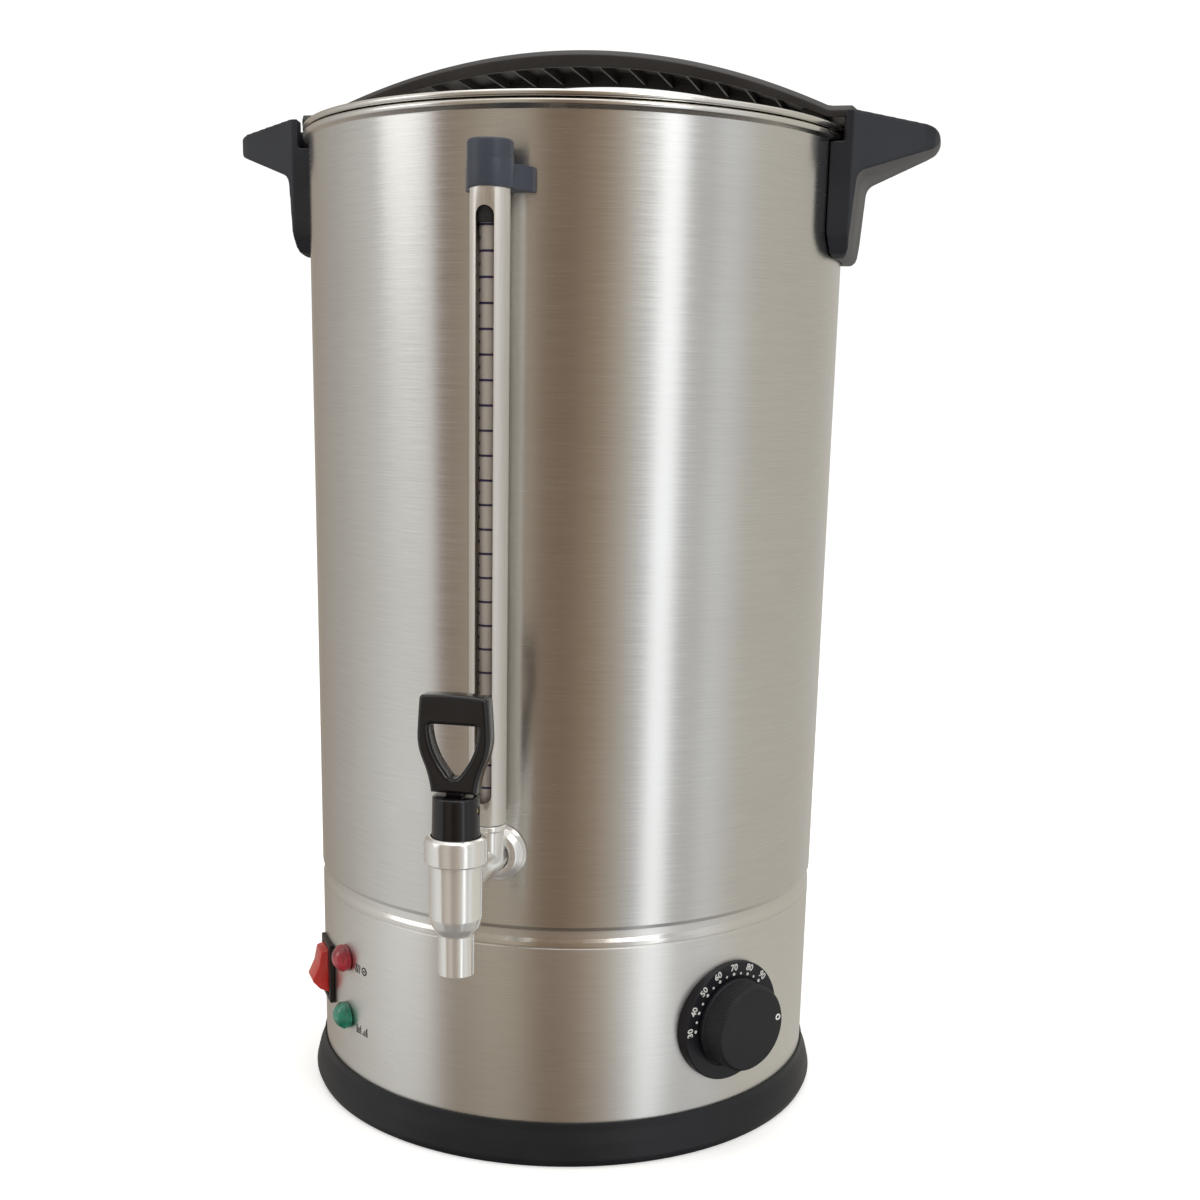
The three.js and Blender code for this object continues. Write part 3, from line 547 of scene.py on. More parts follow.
def taken_curve(curve):
    """A bmesh of a text's or a curve's filled shape. The curve itself is spent."""
    obj = bpy.data.objects.new("curve", curve)
    bpy.context.collection.objects.link(obj)
    depsgraph = bpy.context.evaluated_depsgraph_get()
    mesh = bpy.data.meshes.new_from_object(obj.evaluated_get(depsgraph))
    bm = bmesh.new()
    bm.from_mesh(mesh)
    bpy.data.objects.remove(obj)
    bpy.data.curves.remove(curve)
    bpy.data.meshes.remove(mesh)
    return bm


def settle(obj):
    """Makes the result of the object's modifiers its own mesh."""
    depsgraph = bpy.context.evaluated_depsgraph_get()
    result = bpy.data.meshes.new_from_object(obj.evaluated_get(depsgraph))
    obj.modifiers.clear()
    spent = obj.data
    obj.data = result
    bpy.data.meshes.remove(spent)


def carve(obj, *tools, operation="DIFFERENCE"):
    """Cuts the tools' bmeshes from the object, or joins or intersects them."""
    for tool in tools:
        cutter = linked("cutter", tool)
        modifier = obj.modifiers.new("carve", "BOOLEAN")
        modifier.operation = operation
        modifier.solver = "EXACT"
        modifier.object = cutter
        settle(obj)
        spent = cutter.data
        bpy.data.objects.remove(cutter)
        bpy.data.meshes.remove(spent)


def bevel(obj, width, segments=3, angle=35):
    modifier = obj.modifiers.new("bevel", "BEVEL")
    modifier.width = width * MM
    modifier.segments = segments
    modifier.limit_method = "ANGLE"
    modifier.angle_limit = math.radians(angle)
    modifier.use_clamp_overlap = True
    settle(obj)


def soften(obj, voxel, rounds):
    """Remeshes a carved piece evenly and smooths its corners as a mould would."""
    remesh = obj.modifiers.new("remesh", "REMESH")
    remesh.mode = "VOXEL"
    remesh.voxel_size = voxel * MM
    smooth = obj.modifiers.new("smooth", "SMOOTH")
    smooth.factor = 0.5
    smooth.iterations = rounds
    settle(obj)


def dress(obj, body, material, replaced=(), angle=40, azimuth=0.0):
    """Shades a finished piece, turns it round the kettle and hands it to its body."""
    if azimuth:
        obj.data.transform(Matrix.Rotation(math.radians(azimuth), 4, "Z"))
    obj.data.materials.clear()
    obj.data.materials.append(material)
    obj.data.shade_smooth()
    obj.data.set_sharp_from_angle(angle=math.radians(angle))
    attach(obj, body)
    if replaced:
        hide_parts(*replaced)
    return obj


def piece(name, bm, body, material, replaced=(), angle=40, azimuth=0.0):
    return dress(linked(name, bm), body, material, replaced, angle, azimuth)


def wall(radius=SHELL_R, low=-20, high=700):
    return lathe([(0, low), (radius, low), (radius, high), (0, high)], steps=ROUND)


# ---------------------------------------------------------------- shells, tank and base


def arc(centre, radius, start, end, steps=10):
    """Points on an arc, its angles in degrees from outwards round to upwards."""
    out = []
    for k in range(steps + 1):
        angle = math.radians(start + (end - start) * k / steps)
        out.append((centre[0] + radius * math.cos(angle), centre[1] + radius * math.sin(angle)))
    return out


def add_second_material(obj, material, test):
    """Gives the faces whose centre passes the test (radius and height in mm) another material."""
    obj.data.materials.append(material)
    for face in obj.data.polygons:
        x, y, z = face.center
        if test(math.hypot(x, y) / MM, z / MM):
            face.material_index = 1


def make_shell():
    inner = SHELL_R - SHEET
    profile = [(inner, SHELL_BOTTOM), (159.4, SHELL_BOTTOM), (SHELL_R, SHELL_BOTTOM + 2.2, 1.2),
               (SHELL_R, 581.6, 0.8)]
    profile += arc((161.2, 584.5), 1.95, -70, 115)
    profile += [(inner, 583.4, 1.0)]
    shell = piece("shell_skin", turned(profile, True, ROUND), "kettle", STEEL,
                  ["outer_shell"])
    add_second_material(shell, RIM_STEEL, lambda r, z: z > 581.9)


def make_tank():
    profile = [(0, TANK_FLOOR), (TANK_R, TANK_FLOOR, 6), (TANK_R, 586.3, 1.6), (158, 587.2, 1)]
    profile += arc((161.4, 588.7), 1.75, -90, 75)
    profile += [(159.2, RIM_TOP, 2), (154.2, 589.4, 2.2), (TANK_R - 1, 585, 2)]
    profile += [(TANK_R - 1, TANK_FLOOR + 1, 5.4), (0, TANK_FLOOR + 1)]
    tank = piece("tank_skin", turned(profile, False, ROUND), "kettle",
                 TANK_STEEL, ["inner_tank"])
    add_second_material(tank, RIM_STEEL, lambda r, z: z > 585.5)


# Azimuth, height, half width and half height of the openings behind the switch, inlet and dial.
SKIRT_OPENINGS = (
    (SWITCH_AZIMUTH, SWITCH_Z, 11.3, 17.3),
    (INLET_AZIMUTH, INLET_Z, 14.3, 10.3),
    (DIAL_AZIMUTH, DIAL_Z, 5, 5),
)


def make_skirt():
    foot = 5.3
    profile = [
        (145, foot), (SKIRT_R, foot, 0.8), (SKIRT_R, SHOULDER - 1.2, 0.2),
        (SKIRT_R - 0.5, SHOULDER - 0.8), (SKIRT_R - 0.5, SHOULDER - 0.2), (SKIRT_R, SHOULDER + 0.2, 0.3),
        (SKIRT_R, SHOULDER + 2.4, 2), (NECK_R, SHOULDER + 5, 1.2),
        (NECK_R, 156), (NECK_R - SHEET, 156), (NECK_R - SHEET, SHOULDER + 4, 1.2),
        (SKIRT_R - SHEET, SHOULDER - 0.4, 1.6), (SKIRT_R - SHEET, foot + SHEET), (145, foot + SHEET),
    ]
    skirt = linked("skirt_skin", turned(profile, True, ROUND))
    for azimuth, z, half_width, half_height in SKIRT_OPENINGS:
        opening = block((-half_width, half_width), (-175, -145), (z - half_height, z + half_height))
        carve(skirt, rotated(opening, azimuth, "Z"))
    dress(skirt, "kettle", SKIRT_STEEL, ["lower_skirt"])
    add_second_material(skirt, RIM_STEEL, lambda r, z: SHOULDER < z < 142)


PAD_AZIMUTHS = (0, 120, 240)
BASE_SCREW_AZIMUTHS = (60, 180, 300)
FIXING_RADIUS = 150


def round_the_base(bm, azimuth):
    return rotated(moved(bm, y=-FIXING_RADIUS), azimuth, "Z")


def make_base():
    profile = [
        (0, 0), (164.6, 0, 2.2), (BASE_R, 5.2, 4), (164.4, 14.5, 12), (161.6, 21.5, 8),
        (161.0, BASE_HEIGHT, 0.5), (160.05, BASE_HEIGHT, 0.3), (160.05, 5), (142, 5), (140, 3), (0, 3),
    ]
    base = linked("base_moulding", turned(profile, False, ROUND))
    for azimuth in PAD_AZIMUTHS:
        pocket = lathe([(0, -2), (11.5, -2), (11.5, 2), (0, 2)], steps=SMALL)
        carve(base, round_the_base(pocket, azimuth))
    for azimuth in BASE_SCREW_AZIMUTHS:
        sink = lathe([(0, -2), (4.6, -2), (4.6, 2.8), (2.3, 2.8), (2.3, 8), (0, 8)], steps=SMALL)
        carve(base, round_the_base(sink, azimuth))
    dress(base, "kettle", BASE_PLASTIC, ["base_tray"])
    for i, azimuth in enumerate(PAD_AZIMUTHS):
        profile = [(0, 0.5), (3.4, 0.5, 0.3), (3.8, 0, 0.2), (10.9, 0, 0.6), (11, 1.7, 0.2), (0, 1.7)]
        pad = round_the_base(turned(profile), azimuth)
        piece(f"base_pad_{i + 1}", pad, "kettle", RUBBER, [f"foot_pad_{i + 1}"])


def cross_screw(head_r, shank_r, bottom, head, top):
    """A pan-head screw standing on its head, with a cross recess."""
    profile = [(0, bottom), (head_r, bottom, 0.9), (head_r, bottom + head, 0.2),
               (shank_r, bottom + head), (shank_r, top, 0.4), (0, top)]
    screw = linked("screw", turned(profile, steps=32))
    reach = head_r * 0.55
    for xs, ys in (((-reach, reach), (-0.45, 0.45)), ((-0.45, 0.45), (-reach, reach))):
        carve(screw, block(xs, ys, (bottom - 1, bottom + head * 0.55)))
    return taken(screw)


def make_screws():
    for i, azimuth in enumerate(BASE_SCREW_AZIMUTHS):
        screw = round_the_base(cross_screw(4, 1.8, 0.4, 2.1, 12), azimuth)
        piece(f"base_fixing_{i + 1}", screw, "kettle", ZINC, [f"base_screw_{i + 1}"])
    for i, x in enumerate((-LID_SCREW_X, LID_SCREW_X)):
        screw = moved(cross_screw(4, 1.5, 571.5, 2.2, 590), x=x)
        piece(f"lid_fixing_{i + 1}", screw, "lid", ZINC, [f"lid_screw_{i + 1}"])


# ---------------------------------------------------------------- dial, lamps, switch and inlet

DIAL_R = 36.8
KNOB_R = 27
KNOB_FACE = 180.3
BEZEL_FACE = 163.2
KNOB_RIDGES = 72
DIAL_START = 180  # degrees, anticlockwise from level, of the lowest number
DIAL_STEP = 22.5
DIAL_NUMBERS = (30, 40, 50, 60, 70, 80, 90)
NUMBER_R = 33.4
DOT_R = 29.4


def text_mesh(text, size):
    """The flat mesh of a short text, centred, size millimetres high, in the XY plane."""
    curve = bpy.data.curves.new("text", "FONT")
    curve.body = text
    curve.align_x = "CENTER"
    curve.align_y = "CENTER"
    curve.size = size * MM * 1.35
    curve.extrude = 0.06 * MM
    curve.offset = 0.12 * MM
    curve.resolution_u = 3
    return taken_curve(curve)


def on_wall_face(bm, distance, x, z):
    """Stands a flat drawing up to face the front, at a distance from the kettle's axis."""
    return moved(rotated(bm, 90, "X"), x=x, y=-distance, z=z)


def disc(radius, thickness=0.12, steps=20):
    return lathe([(0, 0), (radius, 0), (radius, thickness), (0, thickness)], steps=steps)


def make_dial():
    profile = [(4, 148), (DIAL_R, 148), (DIAL_R, 162.6, 0.5), (DIAL_R - 0.6, BEZEL_FACE, 0.5),
               (28, BEZEL_FACE, 0.3), (27.6, BEZEL_FACE - 0.5, 0.3), (4, BEZEL_FACE - 0.5)]
    bezel = linked("dial_plate", facing(turned(profile, True, 128), DIAL_Z))
    carve(bezel, wall(SHELL_R))
    dress(bezel, "kettle", DIAL_PLASTIC, ["dial_bezel"], azimuth=DIAL_AZIMUTH)
    marks = []
    for i, number in enumerate(DIAL_NUMBERS):
        angle = DIAL_START - i * DIAL_STEP
        place = math.radians(angle)
        text = rotated(text_mesh(str(number), 4.2), angle - 90, "Z")
        marks.append(on_wall_face(text, BEZEL_FACE + 0.02, NUMBER_R * math.cos(place),
                                  DIAL_Z + NUMBER_R * math.sin(place)))
    for i in range(2 * len(DIAL_NUMBERS) - 1):
        place = math.radians(DIAL_START - i * DIAL_STEP / 2)
        size = 1.0 if i % 2 == 0 else 0.8
        marks.append(on_wall_face(disc(size), BEZEL_FACE, DOT_R * math.cos(place),
                                  DIAL_Z + DOT_R * math.sin(place)))
    piece("dial_print", joined(*marks), "kettle", WHITE_PRINT, azimuth=DIAL_AZIMUTH)


def make_knob():
    back = BEZEL_FACE + 0.3
    outline = [(3.3, back), (KNOB_R - 0.2, back, 0.4), (KNOB_R - 0.2, back + 2.4, 0.3),
               (KNOB_R - 0.8, back + 3.0, 0.3), (KNOB_R - 1.2, KNOB_FACE - 1.6, 1.0),
               (KNOB_R - 2.4, KNOB_FACE, 0.8), (0, KNOB_FACE)]
    points = fillet(outline)

    def ridges(i, angle):
        radius, height = points[i]
        knurled = back + 3.2 < height < KNOB_FACE - 1.2 and radius > KNOB_R - 3
        return 0.42 * abs(math.sin(angle * KNOB_RIDGES / 2)) - 0.2 if knurled else 0

    knurl = [(p.x, p.y) for p in points]
    bm = lathe(knurl, False, KNOB_RIDGES * 6, ridges)
    piece("dial_knob", facing(bm, DIAL_Z), "dial_knob", KNOB_PLASTIC,
          ["thermostat_knob"], azimuth=DIAL_AZIMUTH)
    ring = lathe([(1.0, 0), (2.0, 0), (2.0, 0.12), (1.0, 0.12)], True, 32)
    place = math.radians(8)
    mark = on_wall_face(ring, KNOB_FACE, 21.5 * math.cos(place), DIAL_Z + 21.5 * math.sin(place))
    piece("knob_mark", mark, "dial_knob", WHITE_PRINT, azimuth=DIAL_AZIMUTH)


def make_lamps():
    for colour, material in (("red", RED_LENS), ("green", GREEN_LENS)):
        profile = [(0, 160), (8.4, 160, 0.2), (8.5, 163.4, 0.3)] + arc((0, 159.99), 8.85, 27, 90)
        lens = linked("lens", facing(turned(profile, steps=96), LAMP_Z[colour]))
        dress(lens, "kettle", material, [f"lamp_{colour}_lens"],
              azimuth=LAMP_AZIMUTH)
        lens.name = f"{colour}_lamp"


SIGN_AZIMUTH = -37.2


def make_signs():
    """Two plain pictograms by each lamp: waves and a dot, a pot and a bar chart."""
    waves = []
    for x in (-2.0, 0, 2.0):
        for k in range(8):
            low, high = -2.8 + 0.7 * k, -2.1 + 0.7 * k
            a, b = (x + 0.5 * math.sin(2 * math.pi * v / 5.6) for v in (low, high))
            waves.append(prism([(a - 0.45, low), (a + 0.45, low), (b + 0.45, high), (b - 0.45, high)],
                               0, 0.1))
    ring = [lathe([(1.8, 0), (2.7, 0), (2.7, 0.1), (1.8, 0.1)], True, 32), disc(0.8, 0.1)]
    pot = [
        prism([(-2.9, -1.3), (2.9, -1.3), (2.9, -0.5), (-2.9, -0.5)], 0, 0.1),
        prism([(-2.6, 0), (2.6, 0), (2.6, 2.7), (1.8, 2.7), (1.8, 0.8), (-1.8, 0.8), (-1.8, 2.7),
               (-2.6, 2.7)], 0, 0.1),
        prism([(-2.9, -2.7), (2.9, -2.7), (2.9, -1.9), (-2.9, -1.9)], 0, 0.1),
    ]
    bars = [prism([(x - 0.5, -2.7), (x + 0.5, -2.7), (x + 0.5, top), (x - 0.5, top)], 0, 0.1)
            for x, top in ((-2, -0.9), (0, 0.9), (2, 2.7))]
    for name, left, right, z in (("heat_sign", waves, ring, 96.5), ("warm_sign", pot, bars, 57)):
        both = joined(moved(joined(*left), x=-3.5), moved(joined(*right), x=3.5))
        piece(name, on_wall_face(both, SKIRT_R - 0.02, 0, z), "kettle", DARK_PRINT,
              azimuth=SIGN_AZIMUTH)


ROCKER_PIVOT = 156.5
SWITCH_FACE = 162.2
ROCKER_TILT = 18


def make_switch():
    frame_block = linked("switch_frame", block((-13.5, 13.5), (-SWITCH_FACE, -152),
                                               (SWITCH_Z - 19.5, SWITCH_Z + 19.5)))
    bevel(frame_block, 1.0, 4)
    carve(frame_block, wall(SHELL_R))
    body = block((-11, 11), (-160.5, -130), (SWITCH_Z - 17, SWITCH_Z + 17))
    carve(frame_block, body, operation="UNION")
    carve(frame_block, block((-9.2, 9.2), (-170, -150), (SWITCH_Z - 15.9, SWITCH_Z + 15.9)))
    dress(frame_block, "kettle", SWITCH_PLASTIC, ["rocker_housing"],
          azimuth=SWITCH_AZIMUTH)
    tilt = math.radians(-ROCKER_TILT)
    ridge = [(12.2, 0, 12), (13.4, 10, 2.2), (6.9, 13.9, 1.2), (0, 14.6, 3), (-3.2, 8, 1),
             (-3.2, -8, 1), (0, -14.6, 3), (6.9, -13.9, 1.2), (13.4, -10, 2.2)]
    side = []
    for out, up in fillet(ridge, True):
        side.append((-(out * math.cos(tilt) + up * math.sin(tilt)),
                     up * math.cos(tilt) - out * math.sin(tilt)))
    rocker = linked("power_rocker", prism(side, -8.8, 8.8, "YZ"))
    bevel(rocker, 0.8, 3, 50)
    rocker.data.transform(Matrix.Translation(Vector((0, -ROCKER_PIVOT, SWITCH_Z)) * MM))
    dress(rocker, "power_rocker", RED_PLASTIC, ["rocker"], azimuth=SWITCH_AZIMUTH)


def make_inlet():
    flange = linked("mains_inlet", block((-17, 17), (-163.2, -152), (INLET_Z - 13, INLET_Z + 13)))
    bevel(flange, 1.2, 4)
    carve(flange, wall(SHELL_R))
    carve(flange, block((-14, 14), (-161, -130), (INLET_Z - 10, INLET_Z + 10)), operation="UNION")
    opening = [(-12.2, -8.3, 0.6), (12.2, -8.3, 0.6), (12.2, 3.6, 0.6), (7.5, 8.3, 0.6),
               (-7.5, 8.3, 0.6), (-12.2, 3.6, 0.6)]
    plug_space = prism(fillet(opening, True, 3), -170, -146.2, "XZ")
    carve(flange, moved(plug_space, z=INLET_Z))
    dress(flange, "kettle", SWITCH_PLASTIC, ["inlet_socket"],
          azimuth=INLET_AZIMUTH)
    for pole, (x, z) in {"line": (-7, -0.5), "neutral": (7, -0.5), "earth": (0, 3.5)}.items():
        blade = linked(f"{pole}_blade", block((x - 1, x + 1), (-160, -146),
                                              (INLET_Z + z - 2, INLET_Z + z + 2)))
        bevel(blade, 0.45, 3)
        dress(blade, "kettle", BRASS, [f"inlet_pin_{pole}"], azimuth=INLET_AZIMUTH)


# ---------------------------------------------------------------- tap

BARREL_R = 13.9
SPOUT_R = 9.7
SHANK_R = 8.5
SPIGOT_R = 13.2
BARREL_TOP = 205.5
NECK_BOTTOM = 213.9
NECK_TOP = LEVER_PIVOT + 7.4
LEVER_FOOT = LEVER_PIVOT + 9.3


def at_tap(bm):
    return moved(bm, y=TAP_Y)


def at_gauge(bm):
    return moved(bm, y=GAUGE_Y)


def make_tap():
    barrel = turned([
        (7.4, 145.6, 0.4), (8.2, 144.9, 0.5), (SPOUT_R, 145.2, 0.5), (SPOUT_R, 167.4, 2.5),
        (12.4, 171.2, 3.2), (BARREL_R, 176.6, 3), (BARREL_R, BARREL_TOP, 0.5),
        (SPIGOT_R, BARREL_TOP), (SPIGOT_R, NECK_BOTTOM - 0.3), (11.5, NECK_BOTTOM - 0.3),
        (11.5, 176.2), (7.2, 175.4, 0.6), (7.2, 146),
    ], True, 128)
    body = linked("tap_casting", at_tap(barrel))
    shank = [(0, 144), (SHANK_R, 144, 0.6), (SHANK_R, 206), (9.4, 221, 6), (10.4, 232), (0, 232)]
    carve(body, facing(turned(shank, steps=96), SHANK_Z), operation="UNION")
    boss = [(0, 190), (8.9, 190), (8.9, 208.5, 0.8), (6, 208.5), (5.9, 201), (0, 201)]
    carve(body, at_gauge(turned(boss, steps=96)), operation="UNION")
    carve(body, facing(lathe([(0, 140), (5, 140), (5, 228), (0, 228)], steps=48), SHANK_Z))
    inside = lathe([(0, 177), (11.4, 177), (11.4, 217), (0, 217)], steps=96)
    carve(body, at_tap(inside))
    dress(body, "kettle", CHROME, ["tap_body"], angle=50)
    ring = turned([
        (13.7, 205.8), (15.9, 205.8, 0.5), (16.5, 206.6, 0.5), (16.5, 216.2, 2.0), (15.7, 218.8, 1.4),
        (14.0, 220.0, 1.0), (12.95, 220.1, 0.4), (12.95, 216.5), (13.7, 216.5),
    ], True, 128)
    piece("bonnet_ring", at_tap(ring), "kettle", CHROME, ["tap_bonnet_ring"], angle=50)
    flange = turned([
        (8.85, 160.4), (16.9, 160.4, 0.4), (17, 161.8, 0.5), (15.9, 165.4, 3), (12.6, 168.4, 3),
        (8.85, 169.4, 0.2),
    ], True, 96)
    piece("shank_flange", facing(flange, SHANK_Z), "kettle", CHROME, ["tap_flange"],
          angle=50)
    nut = linked("shank_nut", lathe([(0, 144), (14, 144), (14, 149.3), (0, 149.3)], steps=6))
    bevel(nut, 0.7, 3)
    carve(nut, lathe([(0, 140), (8.8, 140), (8.8, 155), (0, 155)], steps=64))
    nut.data.transform(Matrix.Rotation(math.radians(90), 4, "X"))
    nut.data.transform(Matrix.Translation((0, 0, SHANK_Z * MM)))
    dress(nut, "kettle", CHROME, ["tap_lock_nut"])
    washer = turned([(8.85, 149.6, 0.3), (15, 149.6, 0.5), (15, 151.6, 0.5), (8.85, 151.6, 0.3)],
                    True, 64)
    piece("shank_washer", facing(washer, SHANK_Z), "kettle", SILICONE, ["tap_washer"])


def mirrored(right):
    """Adds the left half to an outline's right half. The two meet on the middle line."""
    return right + [(-x, z) for x, z in reversed(right[:-1])]


def lever_outline():
    foot = LEVER_FOOT
    right = [(12.1, foot)]
    right += curve_points((12.1, foot), (13.1, foot + 8.5), (16.3, foot + 15.8))
    right += curve_points((16.3, foot + 15.8), (19.5, foot + 23), (19.2, foot + 30.5))
    right += curve_points((19.2, foot + 30.5), (18.7, foot + 40), (18, foot + 48), 6)
    right += curve_points((18, foot + 48), (17.7, foot + 50.1), (15.8, foot + 50.2), 5)
    return mirrored(right + curve_points((15.8, foot + 50.2), (8, foot + 50.9), (0, foot + 51), 6))


def lever_loop():
    foot = LEVER_FOOT
    right = [(0, foot + 35.3), (11.2, foot + 35.3)]
    right += curve_points((11.2, foot + 35.3), (13.2, foot + 35.2), (13, foot + 33), 4)
    right += curve_points((13, foot + 33), (12.4, foot + 21), (4.2, foot + 10.8))
    return mirrored(right + curve_points((4.2, foot + 10.8), (2.4, foot + 7.7), (0, foot + 7.6), 5))[:-1]


def flat_plate(outlines, thickness, edge):
    """A plate with round edges, its outlines (the first outside, the others holes) in X and Z."""
    curve = bpy.data.curves.new("plate", "CURVE")
    curve.dimensions = "2D"
    curve.fill_mode = "BOTH"
    curve.extrude = (thickness / 2 - edge) * MM
    curve.bevel_depth = edge * MM
    curve.bevel_resolution = 5
    curve.offset = -edge * MM
    for points in outlines:
        spline = curve.splines.new("POLY")
        spline.points.add(len(points) - 1)
        for point, (x, z) in zip(spline.points, points):
            point.co = (x * MM, z * MM, 0, 1)
        spline.use_cyclic_u = True
    bm = taken_curve(curve)
    bmesh.ops.remove_doubles(bm, verts=bm.verts, dist=1e-6)
    bmesh.ops.recalc_face_normals(bm, faces=bm.faces)
    return rotated(bm, 90, "X")


def make_lever():
    shield = linked("tap_handle", flat_plate([lever_outline(), lever_loop()], 12, 2.6))
    carve(shield, block((-4, 4), (-4, 4), (LEVER_PIVOT - 5, LEVER_FOOT + 3)), operation="UNION")
    shield.data.transform(Matrix.Translation((0, TAP_Y * MM, 0)))
    hole = rotated(lathe([(0, -15), (2.2, -15), (2.2, 15), (0, 15)], steps=32), 90, "Y")
    carve(shield, moved(hole, y=TAP_Y, z=LEVER_PIVOT))
    dress(shield, "tap_handle", GLOSS_PLASTIC, ["tap_lever"], angle=50)
    neck = linked("tap_collar", turned([
        (0, NECK_BOTTOM), (SPIGOT_R, NECK_BOTTOM), (SPIGOT_R, 216.2), (12.5, 216.2, 0.3),
        (12.5, 221, 2), (12.1, NECK_TOP - 0.8, 0.6), (11.3, NECK_TOP, 0.5), (0, NECK_TOP),
    ], False, 96))
    carve(neck, block((-4.5, 4.5), (-8, 8), (225.2, 245)))
    carve(neck, lathe([(0, 205), (2.4, 205), (2.4, 226), (0, 226)], steps=32))
    pin_hole = rotated(lathe([(0, -20), (2.2, -20), (2.2, 20), (0, 20)], steps=32), 90, "Y")
    carve(neck, moved(pin_hole, z=LEVER_PIVOT))
    neck.data.transform(Matrix.Translation((0, TAP_Y * MM, 0)))
    dress(neck, "kettle", GLOSS_PLASTIC, ["tap_neck"], angle=50)
    pin = turned([(0, -11.6), (1.9, -11.6, 0.5), (1.9, 11.6, 0.5), (0, 11.6)], steps=32)
    piece("lever_axle", moved(rotated(pin, 90, "Y"), y=TAP_Y, z=LEVER_PIVOT), "kettle",
          BRASS, ["lever_pin"])


# ---------------------------------------------------------------- water gauge


def make_gauge():
    half = SLOT_HALF
    guard = linked("guard_tube", turned([
        (GUARD_INNER, 212.3, 0.2), (GUARD_R, 212.3, 0.4), (GUARD_R, 548, 0.4), (GUARD_INNER, 548, 0.2),
    ], True, 96))
    slot = arc((0, SLOT_TOP - half), half, 0, 180, 16) + arc((0, SLOT_BOTTOM + half), half, 180, 360, 16)
    carve(guard, prism(slot, -30, -2, "XZ"))
    bevel(guard, 0.25, 2, 60)
    guard.data.transform(Matrix.Translation((0, GAUGE_Y * MM, 0)))
    dress(guard, "kettle", STEEL_UP, ["gauge_guard"], angle=30)
    tube = [(4.3, 200.3, 0.2), (GLASS_R, 200.3, 0.3), (GLASS_R, 552, 0.3), (4.3, 552, 0.2)]
    piece("sight_tube", at_gauge(turned(tube, True, 64)), "kettle", GLASS,
          ["gauge_glass"])
    ring = [(6.0, 208.8, 0.2), (10.6, 208.8, 0.6), (10.6, 212, 0.9), (6.0, 212, 0.2)]
    piece("gauge_collar", at_gauge(turned(ring, True, 64)), "kettle", CHROME,
          ["gauge_ring"])
    for name, node, low, high in (("lower_seal", "gauge_bottom_seal", 212.3, 224),
                                  ("upper_seal", "gauge_top_seal", 524, 546)):
        seal = [(5.8, low, 0.3), (8, low, 0.6), (8, high, 0.6), (5.8, high, 0.3)]
        piece(name, at_gauge(turned(seal, True, 64)), "kettle", RUBBER, [node])


def curved_mark(left, right, z, height, radius):
    """A thin printed stroke round the front of the sight tube, between two angles in degrees."""
    bm = bmesh.new()
    steps = 8
    rows = []
    for k in range(steps + 1):
        angle = math.radians(left + (right - left) * k / steps)
        rows.append([bm.verts.new(Vector((r * math.sin(angle), -r * math.cos(angle), level)) * MM)
                     for r in (radius, radius + 0.08)
                     for level in (z - height / 2, z + height / 2)])
    for near, far in zip(rows, rows[1:]):
        for a, b in ((0, 1), (1, 3), (3, 2), (2, 0)):
            bm.faces.new([near[a], near[b], far[b], far[a]])
    for row in (rows[0], rows[-1]):
        bm.faces.new([row[0], row[1], row[3], row[2]])
    bmesh.ops.recalc_face_normals(bm, faces=bm.faces)
    return bm


def make_scale():
    marks = []
    radius = GLASS_R + 0.04
    for i in range(LITRES):
        z = TOP_MARK_Z - i * LITRE_PITCH
        if z > SLOT_BOTTOM:
            marks.append(curved_mark(-60, 55, z, 1.2, radius))
        if z - LITRE_PITCH / 2 > SLOT_BOTTOM:
            marks.append(curved_mark(-62, -40, z - LITRE_PITCH / 2, 1.4, radius))
    piece("litre_scale", at_gauge(joined(*marks)), "kettle", SCALE_INK)


def make_cap():
    cap = linked("gauge_top", at_gauge(turned([
        (0, CAP_BOTTOM), (11.8, CAP_BOTTOM, 0.5), (12, 553.6), (11.8, 554, 0.2), (11.7, CAP_TOP, 1.8),
        (6, CAP_TOP, 0.4), (5.4, CAP_TOP - 0.4, 0.4), (0, CAP_TOP - 0.4),
    ], False, 96)))
    plan = [(-18, -158), (-18, -165, 2.5), (-10, -177), (10, -177), (18, -165, 2.5), (18, -158)]
    saddle = linked("saddle", prism(fillet(plan, True, 4), CAP_BOTTOM, 553))
    bevel(saddle, 0.8, 3, 50)
    carve(cap, taken(saddle), operation="UNION")
    carve(cap, wall(SHELL_R + 0.25))
    bore = GUARD_R + 0.25
    carve(cap, at_gauge(lathe([(0, 530), (bore, 530), (bore, 548.4), (6, 548.4), (6, 556), (0, 556)],
                              steps=64)))
    dress(cap, "kettle", CAP_PLASTIC, ["gauge_cap"], angle=45)


# ---------------------------------------------------------------- handles

HANDLE_HALF = 42
LEDGE_Z = 581.7
SLOT_R = 168.2
POCKET_R = 181.3


